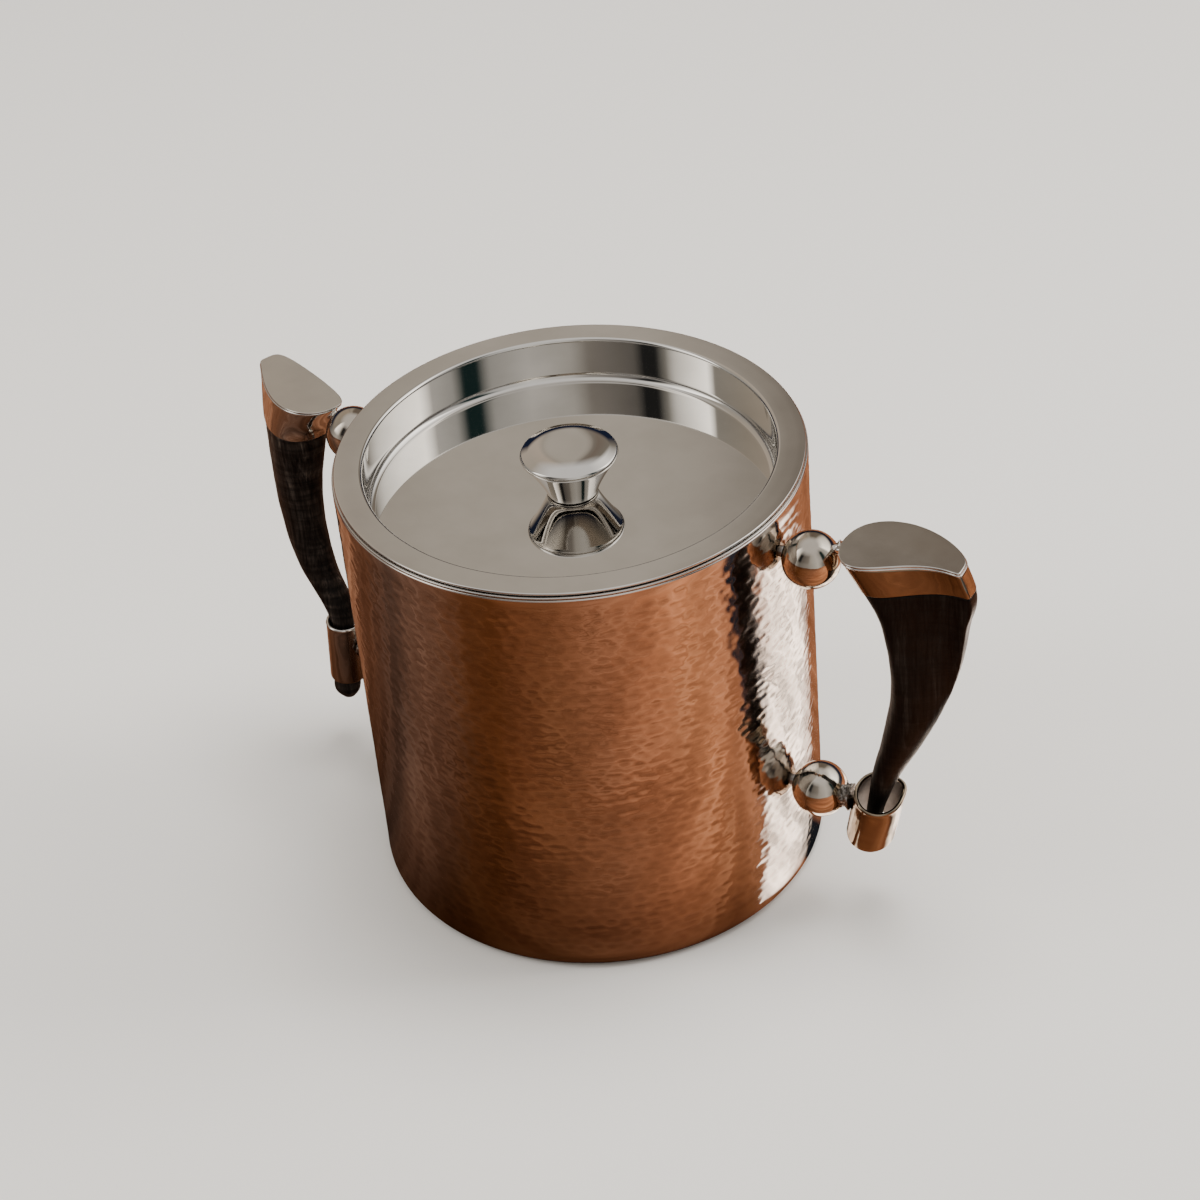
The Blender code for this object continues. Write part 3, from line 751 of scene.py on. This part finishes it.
def leaf_outline(inner, outer, thickness, leaf, inset):
    """Closed section about a chord: a rounded heel at the inner end and a blunter tip."""
    (heel, toe, far, near), (a, b, c, d), tip = leaf
    inner = np.array(inner)
    outer = np.array(outer)
    along = (outer - inner) / np.linalg.norm(outer - inner)
    across = np.array((-along[1], along[0]))
    start = inner + across * (heel * thickness)
    chord = outer + across * (toe * thickness) - start
    length = np.linalg.norm(chord)
    along = chord / length
    across = np.array((-along[1], along[0]))
    phase = math.pi * np.arange(LEAF_DRAFT // 2 + 1) / (LEAF_DRAFT // 2)
    s = 0.5 * (1.0 - np.cos(phase))
    far_side = far * thickness * s ** a * (1.0 - s) ** b / peak(a, b) + tip * s ** 8
    near_side = -near * thickness * s ** c * (1.0 - s) ** d / peak(c, d) - tip * s ** 3
    along_all = np.concatenate((s, s[::-1][1:-1])) * length
    across_all = np.concatenate((near_side, far_side[::-1][1:-1]))
    draft = start + along * along_all[:, None] + across * across_all[:, None]
    outline = even_loop(draft, LEAF_POINTS)
    for _ in range(2):
        beside = np.roll(outline, 1, axis=0) + np.roll(outline, -1, axis=0)
        outline = 0.5 * outline + 0.25 * beside
    ahead = np.roll(outline, -1, axis=0) - np.roll(outline, 1, axis=0)
    ahead /= np.linalg.norm(ahead, axis=1, keepdims=True)
    inward = np.column_stack((-ahead[:, 1], ahead[:, 0]))
    share = np.clip((outline - start) @ along / length, 0.0, 1.0)
    return outline + inward * inset, share


def peak(a, b):
    """Largest value of s**a * (1 - s)**b."""
    return (a / (a + b)) ** a * (b / (a + b)) ** b


def even_loop(points, count):
    """Points spaced evenly along a closed loop, from its first point."""
    closed = np.concatenate((points, points[:1]))
    steps = np.linalg.norm(np.diff(closed, axis=0), axis=1)
    run = np.concatenate(((0.0,), np.cumsum(steps)))
    wanted = run[-1] * np.arange(count) / count
    return np.column_stack([np.interp(wanted, run, closed[:, axis]) for axis in (0, 1)])


def smooth_station(stations, height):
    """Stations blended by a Catmull-Rom curve at one height."""
    last = len(stations) - 1
    span = 0
    while span < last - 1 and height < stations[span + 1][0]:
        span += 1
    flat = np.array([(s[0], *s[1], *s[2], s[3]) for s in stations])
    p0 = flat[max(span - 1, 0)]
    p1 = flat[span]
    p2 = flat[span + 1]
    p3 = flat[min(span + 2, last)]
    t = (p1[0] - height) / (p1[0] - p2[0])
    slope_in = (p2 - p0) / (p2[0] - p0[0]) * (p2[0] - p1[0])
    slope_out = (p3 - p1) / (p3[0] - p1[0]) * (p2[0] - p1[0])
    mixed = (2 * t ** 3 - 3 * t ** 2 + 1) * p1 + (t ** 3 - 2 * t ** 2 + t) * slope_in
    mixed += (-2 * t ** 3 + 3 * t ** 2) * p2 + (t ** 3 - t ** 2) * slope_out
    return (mixed[1], mixed[2]), (mixed[3], mixed[4]), mixed[5]


def blended_leaf(leaf, height):
    """The cap's section near the top, turning into an oval towards the small end."""
    share = min(max((height - OVAL_FROM) / (LEAF_FROM - OVAL_FROM), 0.0), 1.0)
    share = share * share * (3.0 - 2.0 * share)

    def mix(top, low):
        return tuple(share * x + (1.0 - share) * y for x, y in zip(top, low))

    tip = share * leaf[2] + (1.0 - share) * OVAL_LEAF[2]
    return mix(leaf[0], OVAL_LEAF[0]), mix(leaf[1], OVAL_LEAF[1]), tip


def level_ring(stations, leaf, height, inset):
    inner, outer, thickness = smooth_station(stations, height)
    return leaf_outline(inner, outer, thickness, blended_leaf(leaf, height), inset)


def handle_ring(stations, leaf, height, inset, rise=0.0):
    """Horn section at a height; rise lifts the outer end of the ring along the horn."""
    outline, share = level_ring(stations, leaf, height, inset)
    ring = np.column_stack((outline, np.full(LEAF_POINTS, height)))
    if rise != 0.0:
        for k in range(LEAF_POINTS):
            level = height + rise * share[k]
            ring[k, :2] = level_ring(stations, leaf, level, inset)[0][k]
            ring[k, 2] = level
    return ring


def handle_piece(name, rings, mat, turn, replaced=(), closed=False):
    rings = np.asarray(rings, float)
    turned = moved(rings.reshape(-1, 3), turn).reshape(rings.shape)
    lofted(name, turned, mat, "bucket", replaced, closed)


def make_cap(side, stations, leaf, cap, turn):
    """Folded collar with rounded sheet edges, the plate on it and the solder between them."""
    bottom, rise = cap
    collar_top = CAP_TOP - CAP_PLATE - GAP
    steps = 14
    edge = 0.25
    levels = []
    for i in range(1, steps):
        levels.append((collar_top + (bottom - collar_top) * i / steps, rise * i / steps))
    rings = [
        handle_ring(stations, leaf, collar_top, edge),
        handle_ring(stations, leaf, collar_top - edge, 0.0),
    ]
    for height, lift in levels:
        rings.append(handle_ring(stations, leaf, height, 0.0, lift))
    rings += [
        handle_ring(stations, leaf, bottom + edge, 0.0, rise),
        handle_ring(stations, leaf, bottom + edge * 0.3, edge * 0.3, rise),
        handle_ring(stations, leaf, bottom, edge, rise),
        handle_ring(stations, leaf, bottom, CAP_SHEET - edge, rise),
        handle_ring(stations, leaf, bottom + edge, CAP_SHEET, rise),
    ]
    for height, lift in reversed(levels):
        rings.append(handle_ring(stations, leaf, height, CAP_SHEET, lift))
    rings.append(handle_ring(stations, leaf, collar_top, CAP_SHEET))
    handle_piece(f"{side}_cap_collar_fine", rings, COLLARS[side], turn, (f"{side}_cap_collar",),
                 closed=True)

    edge = 0.45
    rings = []
    for i in range(5):
        angle = math.radians(90.0 * i / 4)
        inset = edge * (1.0 - math.sin(angle))
        drop = edge * (1.0 - math.cos(angle))
        rings.append(handle_ring(stations, leaf, CAP_TOP - drop, inset))
    rings.append(handle_ring(stations, leaf, CAP_TOP - CAP_PLATE, 0.0))
    handle_piece(f"{side}_cap_plate_fine", rings, PLATE, turn, (f"{side}_cap_plate",))

    centre = handle_ring(stations, leaf, CAP_TOP - CAP_PLATE - GAP / 2.0, 0.12)
    solder = bead_along(centre, 0.38, 10, 17)
    handle_piece(f"{side}_cap_solder", solder, SOLDER, turn, closed=True)


def bead_along(path, radius, sides, seed):
    """Thin uneven solder bead along a closed level path, as rings for a closed loft."""
    count = len(path)
    ahead = np.roll(path, -1, axis=0) - np.roll(path, 1, axis=0)
    ahead /= np.linalg.norm(ahead, axis=1, keepdims=True)
    outward = np.cross(np.array((0.0, 0.0, 1.0)), ahead)
    size = radius * (1.0 + 0.22 * waves(np.arange(count) * 2.0 * math.pi / count, seed, 9, 5, 25))
    rings = []
    for j in range(sides):
        angle = 2.0 * math.pi * j / sides
        ring = path + outward * (size * math.cos(angle))[:, None]
        ring[:, 2] += size * math.sin(angle)
        rings.append(ring)
    return rings


def make_horn(side, stations, leaf, cap, turn):
    """Solid horn: stepped down inside the collar, with carving marks and long ridges below it."""
    bottom, rise = cap
    inside = CAP_SHEET + HORN_CLEARANCE
    top = CAP_TOP - CAP_PLATE - GAP
    low = stations[-1][0]
    rings = []
    steps = 10
    for i in range(steps + 1):
        height = top + (bottom - top) * i / steps
        rings.append(handle_ring(stations, leaf, height, inside, rise * i / steps))
    shoulder = bottom - GAP
    for drop, inset in ((0.0, inside), (0.05, HORN_INSET + 0.35), (0.4, HORN_INSET)):
        rings.append(handle_ring(stations, leaf, shoulder - drop, inset, rise))
    rows = 130
    start = shoulder - 0.4
    for i in range(1, rows + 1):
        height = start + (low - start) * i / rows
        lift = rise * max(0.0, 1.0 - i / LEVEL_AFTER)
        rings.append(handle_ring(stations, leaf, height, HORN_INSET, lift))
    rings.append(handle_ring(stations, leaf, low, HORN_INSET + 0.9) - np.array((0.0, 0.0, 0.5)))
    rings = np.array(rings)
    centre = rings.mean(axis=1, keepdims=True)
    outward = rings - centre
    outward[..., 2] = 0.0
    outward /= np.maximum(np.linalg.norm(outward, axis=2, keepdims=True), 1e-9)
    points = rings.reshape(-1, 3)
    long_ridges = lumps(points * np.array((1.0, 1.0, 0.06)), 31, 3.2)
    carving = lumps(points * np.array((0.5, 0.5, 1.0)), 32, 15.0)
    rib = lumps(points * np.array((0.12, 0.12, 1.0)), 33, 2.4)
    relief = 0.04 * long_ridges + 0.08 * carving + 0.015 * rib - 0.10
    exposed = np.zeros(rings.shape[:2])
    exposed[steps + 4:] = 1.0
    points = points + outward.reshape(-1, 3) * (relief * exposed.reshape(-1))[:, None]
    rings = points.reshape(rings.shape)
    handle_piece(f"{side}_horn_fine", rings, HORNS[side], turn, (f"{side}_horn_grip",))


def sleeve_ring(sleeve, offset, along, angles):
    """Oval section of a sleeve, pinched to a rounded corner on one side."""
    bottom, top, half_x, half_y, corner = sleeve
    bottom = np.array(bottom)
    axis = np.array(top) - bottom
    length = np.linalg.norm(axis)
    axis /= length
    across_x = np.array((1.0, 0.0, 0.0))
    across_x = across_x - axis * (across_x @ axis)
    across_x /= np.linalg.norm(across_x)
    across_y = np.cross(axis, across_x)
    away = np.angle(np.exp(1j * (angles - math.radians(CORNER_ANGLE))))
    pinch = 1.0 + corner * (0.35 + 0.65 * along / length) * np.exp(-(away / CORNER_SPREAD) ** 2)
    radial_x = (half_x * pinch + offset) * np.cos(angles)
    radial_y = (half_y * pinch + offset) * np.sin(angles)
    return bottom + axis * along + radial_x[:, None] * across_x + radial_y[:, None] * across_y


def make_sleeve(side, sleeve, turn):
    """Oval tube with thick rounded rims and a near-black lining inside it that paints the shade in
    the tube.
    """
    length = (Vector(sleeve[1]) - Vector(sleeve[0])).length
    angles = 2.0 * math.pi * np.arange(SLEEVE_POINTS) / SLEEVE_POINTS
    lip = SLEEVE_LIP
    foot = SLEEVE_SHEET / 2.0
    under_lip = length - 2.2 * lip
    section = arc(0.18 - lip, length - lip, lip, 180, -20, 8)
    section.append((0.0, under_lip))
    section += line((0.0, under_lip), (0.0, foot), 14)
    section += arc(-foot, foot, foot, 0, -180, 6)[1:]
    section += line((-SLEEVE_SHEET, foot), (-SLEEVE_SHEET, under_lip), 14)
    rings = [sleeve_ring(sleeve, offset, along, angles) for offset, along in section]
    handle_piece(f"{side}_sleeve_fine", rings, SLEEVES[side], turn, (f"{side}_horn_sleeve",),
                 closed=True)

    # Thin near-black tube just inside the sleeve: painted shade.
    inner = -SLEEVE_SHEET - 0.02
    low, high = 0.6, length - 1.3
    section = [(inner, high), (inner, low), (inner - 0.12, low), (inner - 0.12, high)]
    rings = [sleeve_ring(sleeve, offset, along, angles) for offset, along in section]
    handle_piece(f"{side}_sleeve_shade_lining", rings, SLEEVE_SHADE, turn, closed=True)


def make_ball(side, level, height, weld_point, turn):
    """Hand-polished ball with a flat seat towards the wall."""
    seat = BALL_SEAT_RADIUS
    start = math.degrees(math.asin(seat / BALL_RADIUS)) - 90.0
    profile = [(0.0, BALL_RADIUS)]
    profile += arc(0.0, 0.0, BALL_RADIUS, 86, start, 56)
    bottom = -math.sqrt(BALL_RADIUS ** 2 - seat ** 2)
    profile += [(BALL_BORE_RADIUS, bottom), (0.0, bottom)]

    def worked(grid):
        points = grid.reshape(-1, 3)
        soft = 0.05 * lumps(points, 60 + int(height) % 7, 9.0)
        share = 1.0 + (soft - 0.06) / BALL_RADIUS
        share = np.where(points[:, 2] < bottom + 0.4, 1.0, share)
        return (points * share[:, None]).reshape(grid.shape)

    centre = Vector((BALL_CENTRE, 0.0, height))
    outward = turn @ Matrix.Translation(centre) @ Matrix.Rotation(math.radians(90.0), 4, "Y")
    name = f"{side}_{level}_ball"
    turned_solid(name + "_fine", profile, 96, BALL_SHADED_STEEL, "bucket",
                 (name,), shape=worked, place=outward)
    make_weld(side, level, centre, Vector(weld_point), turn)


def make_weld(side, level, start, end, turn):
    """Lumpy weld between a ball and its neighbour."""
    direction = end - start
    length = direction.length
    aim = direction.to_track_quat("Z", "Y").to_matrix().to_4x4()
    pose = turn @ Matrix.Translation(start) @ aim
    upper = level == "upper"
    radius = 2.9 if upper else 6.2
    far_end = length + 0.7
    near_end = BALL_RADIUS - (1.0 if upper else 2.4)
    profile = [(0.0, far_end), (radius * 0.86, far_end)]
    steps = 16
    for i in range(1, steps + 1):
        share = i / steps
        swell = 1.0 - 0.22 * math.sin(math.pi * share)
        profile.append((radius * swell, far_end + (near_end - far_end) * share))
    profile += [(0.0, near_end)]

    def rough(grid):
        points = grid.reshape(-1, 3)
        field = 0.55 * lumps(points, 71 + int(end.x), 3.0) + 0.3 * lumps(points, 72, 1.3)
        share = 1.0 + 0.16 * field
        shaped = points.copy()
        shaped[:, 0] *= share
        shaped[:, 1] *= share
        shaped[:, 2] += 0.18 * field
        return shaped.reshape(grid.shape)

    mat = HAND_POLISHED if upper else WELD
    turned_solid(f"{side}_{level}_weld", profile, 56, mat, "bucket",
                 shape=rough, place=pose)


def make_handle(side, degrees, stations, leaf, cap, sleeve, welds):
    turn = Matrix.Rotation(math.radians(degrees), 4, "Z")
    make_cap(side, stations, leaf, cap, turn)
    make_horn(side, stations, leaf, cap, turn)
    make_sleeve(side, sleeve, turn)
    for level, height, weld_point in zip(("upper", "lower"), BALL_HEIGHTS, welds):
        make_ball(side, level, height, weld_point, turn)


# Stage

GRAIN_DEGREES = 28.0
# Window glare on the table: a fan of directions from an apex and the distances where it starts
# and ends, each fading over a band
GLARE_STRENGTH = (1.3, 5.6)
GLARE_COLOUR = (1.0, 0.83, 0.70, 1.0)
GLARE_APEX = (0.104, -0.026, 0.0)
GLARE_FAN = (44.0, 85.0)
GLARE_SOFTNESS = 6.0
GLARE_NEAR = (0.0, 0.001)
GLARE_FAR = (0.26, 0.30)
# Painted sheen, light and shade on the table round the bucket, which only the mirrors see, with a
# dark strip from 8.5 to 21 degrees that widens the horn's dark reflection: azimuth in degrees from
# +X and colour
TABLE_LIGHT_ROUND = (
    (-180, (0.46, 0.42, 0.40)),
    (-168, (0.42, 0.38, 0.36)),
    (-147, (0.34, 0.42, 0.54)),
    (-130, (0.78, 0.86, 1.00)),
    (-117, (0.52, 0.50, 0.49)),
    (-106, (0.42, 0.33, 0.22)),
    (-95, (0.37, 0.27, 0.16)),
    (-84, (0.54, 0.43, 0.32)),
    (-73, (0.69, 0.59, 0.48)),
    (-53, (0.99, 0.87, 0.79)),
    (-33, (1.52, 1.30, 1.15)),
    (-12, (2.20, 1.95, 1.68)),
    (5.5, (1.93, 1.71, 1.54)),
    (8.5, (0.07, 0.18, 0.45)),
    (21, (0.07, 0.18, 0.45)),
    (25, (1.70, 1.50, 1.35)),
    (60, (1.30, 1.10, 0.95)),
    (140, (0.90, 0.85, 0.82)),
)
# Painted shade close to the bucket and painted sheen farther out: brightness of the table outwards
# from the bucket, as a share of TABLE_FAR metres
TABLE_FAR = 1.0
TABLE_LIGHT_OUT = (
    (0.10, (0.60, 0.58, 0.56)),
    (0.13, (0.84, 0.83, 0.82)),
    (0.26, (1.00, 1.00, 1.00)),
    (0.42, (1.15, 1.16, 1.18)),
    (1.00, (1.60, 1.70, 1.80)),
)
STUDIO_STRENGTH = 1.5
WALL_GREY = (0.34, 0.30, 0.25)
TEAL = (0.012, 0.026, 0.026)
PANEL = (2.2, 2.12, 2.0)
# Studio seen by the mirrors, round the object: azimuth in degrees from +X and colour
STUDIO_ROUND = (
    (-180, WALL_GREY),
    (-152, (0.30, 0.28, 0.25)),
    (-146, PANEL),
    (-124, (0.85, 0.82, 0.77)),
    (-118, (0.24, 0.23, 0.21)),
    (-112, (0.02, 0.02, 0.02)),
    (-104, (0.02, 0.02, 0.02)),
    (-98, (0.13, 0.12, 0.11)),
    (-72, (0.24, 0.22, 0.20)),
    (-62, (0.46, 0.44, 0.41)),
    (-38, (0.60, 0.58, 0.55)),
    (-16, (0.40, 0.39, 0.37)),
    (-8, TEAL),
    (1, TEAL),
    (9, (0.42, 0.41, 0.39)),
    (24, (0.55, 0.53, 0.50)),
    (34, PANEL),
    (78, (1.0, 0.96, 0.90)),
    (96, (0.17, 0.15, 0.125)),
    (114, (0.155, 0.125, 0.100)),
    (118, (0.175, 0.150, 0.125)),
    (122, (0.375, 0.335, 0.285)),
    (127, (0.365, 0.325, 0.275)),
    (129.5, (0.32, 0.28, 0.235)),
    (134, (0.41, 0.34, 0.275)),
    (180, WALL_GREY),
)
STUDIO_LOW = (
    (-180, (0.10, 0.095, 0.09)),
    (-130, (0.50, 0.48, 0.45)),
    (-105, (0.16, 0.15, 0.14)),
    (-75, (0.30, 0.28, 0.26)),
    (-40, (0.62, 0.60, 0.56)),
    (-15, (0.20, 0.19, 0.18)),
    (60, (0.020, 0.024, 0.045)),
    (120, (0.006, 0.009, 0.024)),
    (170, (0.012, 0.016, 0.035)),
)


LIT_POINT = (0.0, 0.0, 0.12)
CAMERA_PLACE = (0.5576, -0.8267, 0.8799)
# Azimuth, tilt and roll
CAMERA_TURNS = ((33.593, "Z"), (52.85, "X"), (-5.53, "Z"))
# Sine of the elevation over which one zone of the dome turns into the next
LOW_TO_PANELS = (0.20, 0.38)
PANELS_TO_CEILING = (0.72, 0.92)
CEILING = (0.62, 0.60, 0.58, 1.0)
FLOOR_REACH = 12.0
FLOOR_HEIGHT = -0.0002
FLOOR_CORNERS = ((-1.0, -1.0), (1.0, -1.0), (1.0, 1.0), (-1.0, 1.0))


def seen_by(tree, ray, for_ray, for_rest, output):
    """Mixes two shaders so that one kind of ray sees the first and all others the second."""
    path = add_node(tree, "LightPath", {}).outputs[ray]
    mix = add_node(tree, "MixShader", {"Fac": path, 1: for_rest, 2: for_ray})
    fill(tree, tree.nodes[output], {"Surface": mix.outputs["Shader"]})


def polar(tree, point, apex):
    """Direction and distance of a point of the floor from an apex."""
    inputs = {0: point, 1: apex}
    offset = add_node(tree, "VectorMath", inputs, operation="SUBTRACT").outputs["Vector"]
    split = add_node(tree, "SeparateXYZ", {"Vector": offset}).outputs
    length = add_node(tree, "VectorMath", {0: offset}, operation="LENGTH").outputs["Value"]
    return maths(tree, "ARCTAN2", split["Y"], split["X"]), length


def table_shader(tree):
    """Warm table top for the mirrors, with streaky grain, painted sheen and shade round the bucket
    and one glowing patch of painted window glare.
    """
    point = object_point(tree)
    turned = add_node(tree, "Mapping", {
        "Vector": point,
        "Rotation": (0.0, 0.0, math.radians(GRAIN_DEGREES)),
        "Scale": (9.0, 1.0, 1.0),
    }, vector_type="TEXTURE").outputs["Vector"]
    grain = noise(tree, turned, 60.0, 3.0, 0.5, 0.3)
    boards = noise(tree, turned, 16.0, 2.0, 0.5)
    colour = ramp(tree, grain, (
        (0.30, (0.150, 0.066, 0.036)),
        (0.50, (0.230, 0.108, 0.062)),
        (0.70, (0.330, 0.170, 0.104)),
    ))
    shade = ramp(tree, boards, ((0.35, (0.80, 0.79, 0.78)), (0.65, (1.16, 1.14, 1.12))))
    around, away = polar(tree, point, (0.0, 0.0, 0.0))
    reach = remap(tree, away, 0.0, TABLE_FAR, 0.0, 1.0)
    colour = multiplied(tree, colour, shade)
    # Painted sheen, light and shade round the bucket
    colour = multiplied(tree, colour, azimuth_ramp(tree, around, TABLE_LIGHT_ROUND))
    # Painted shade near the bucket, brighter sheen farther out
    colour = multiplied(tree, colour, ramp(tree, reach, TABLE_LIGHT_OUT))
    wood = add_node(tree, "BsdfDiffuse", {"Color": colour}).outputs["BSDF"]

    # Painted window glare: a glowing patch seen only in the mirrors.
    uneven = noise(tree, point, 34.0, 3.0, 0.6)
    strength = remap(tree, uneven, 0.38, 0.60, *GLARE_STRENGTH)
    glare = add_node(tree, "Emission", {"Color": GLARE_COLOUR, "Strength": strength})
    around, away = polar(tree, point, GLARE_APEX)
    start, end = (math.radians(degrees) for degrees in GLARE_FAN)
    soft = math.radians(GLARE_SOFTNESS)
    share = remap(tree, around, start - soft, start + soft, 0.0, 1.0)
    share = maths(tree, "MULTIPLY", share, remap(tree, around, end - soft, end + soft, 1.0, 0.0))
    share = maths(tree, "MULTIPLY", share, remap(tree, away, *GLARE_NEAR, 0.0, 1.0))
    share = maths(tree, "MULTIPLY", share, remap(tree, away, *GLARE_FAR, 1.0, 0.0))
    both = add_node(tree, "MixShader", {"Fac": share, 1: wood, 2: glare.outputs["Emission"]})
    return both.outputs["Shader"]


def make_floor():
    """Pale plain floor; the steel mirrors a warm table top in its place."""
    mat, tree, shader = new_material("pale_floor")
    tree.nodes.remove(shader)
    pale = add_node(tree, "BsdfDiffuse", {"Color": (0.88, 0.86, 0.83, 1.0)}).outputs["BSDF"]
    seen_by(tree, "Is Glossy Ray", table_shader(tree), pale, "Material Output")
    mat.cycles.emission_sampling = "NONE"
    mesh = bpy.data.meshes.new("floor")
    corners = [(x * FLOOR_REACH, y * FLOOR_REACH, FLOOR_HEIGHT) for x, y in FLOOR_CORNERS]
    mesh.from_pydata(corners, [], [(0, 1, 2, 3)])
    mesh.materials.append(mat)
    obj = bpy.data.objects.new("floor", mesh)
    bpy.context.scene.collection.objects.link(obj)


def make_world():
    """Studio dome for the mirrors: soft panels and dark gaps round the sides, a grey back wall,
    a dark blue strip low down behind the object and a bright ceiling."""
    world = bpy.data.worlds.new("studio")
    bpy.context.scene.world = world
    world.use_nodes = True
    tree = world.node_tree
    tree.nodes.clear()
    tree.nodes.new("ShaderNodeOutputWorld").name = "World Output"
    point = add_node(tree, "TexCoord", {}).outputs["Generated"]
    split = add_node(tree, "SeparateXYZ", {"Vector": point}).outputs
    azimuth = maths(tree, "ARCTAN2", split["Y"], split["X"])
    low = azimuth_ramp(tree, azimuth, STUDIO_LOW)
    panels = azimuth_ramp(tree, azimuth, STUDIO_ROUND)
    sides = mixed(tree, low, panels, remap(tree, split["Z"], *LOW_TO_PANELS, 0.0, 1.0))
    dome = mixed(tree, sides, CEILING, remap(tree, split["Z"], *PANELS_TO_CEILING, 0.0, 1.0))
    room = add_node(tree, "Background", {"Color": dome, "Strength": STUDIO_STRENGTH})
    plain = add_node(tree, "Background", {"Color": (0.86, 0.83, 0.80, 1.0)})
    seen_by(tree, "Is Camera Ray", plain.outputs["Background"], room.outputs["Background"],
            "World Output")


def add_softbox(name, place, size, power):
    """Soft light aimed at the middle of the bucket; the mirrors do not see it."""
    data = bpy.data.lights.new(name, "AREA")
    data.shape = "RECTANGLE"
    data.size, data.size_y = size
    data.energy = power
    data.color = (1.0, 0.98, 0.95)
    obj = bpy.data.objects.new(name, data)
    obj.location = place
    obj.rotation_mode = "QUATERNION"
    obj.rotation_quaternion = (Vector(LIT_POINT) - Vector(place)).to_track_quat("-Z", "Y")
    obj.visible_glossy = False
    bpy.context.scene.collection.objects.link(obj)


def make_lights():
    add_softbox("overhead", (0.10, 0.30, 1.9), (0.9, 0.7), 22.0)
    add_softbox("right_box", (1.25, 0.95, 1.25), (0.6, 0.9), 14.0)
    add_softbox("left_box", (-1.35, -0.75, 1.1), (0.5, 0.8), 6.0)


def make_camera():
    data = bpy.data.cameras.new("camera")
    data.lens = 85.6
    data.sensor_width = 36.0
    data.clip_start = 0.01
    obj = bpy.data.objects.new("camera", data)
    pose = Matrix.Translation(CAMERA_PLACE)
    for degrees, axis in CAMERA_TURNS:
        pose = pose @ Matrix.Rotation(math.radians(degrees), 4, axis)
    obj.matrix_world = pose
    bpy.context.scene.collection.objects.link(obj)
    bpy.context.scene.camera = obj


def finish_hidden_fasteners():
    """The screws and washers inside the double wall keep their CAD shape."""
    for side in ("right", "left"):
        for level in ("upper", "lower"):
            for kind in ("screw", "washer"):
                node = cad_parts[f"{side}_{level}_{kind}"]
                node.data.materials.clear()
                node.data.materials.append(FASTENER)


make_shell()
make_liner()
make_lid()
make_handle("right", 0.0, RIGHT_HORN, RIGHT_LEAF, RIGHT_CAP, RIGHT_SLEEVE, RIGHT_WELDS)
make_handle("left", 180.0, LEFT_HORN, LEFT_LEAF, LEFT_CAP, LEFT_SLEEVE, LEFT_WELDS)
finish_hidden_fasteners()
make_floor()
make_world()
make_lights()
make_camera()

bpy.context.view_layer.update()
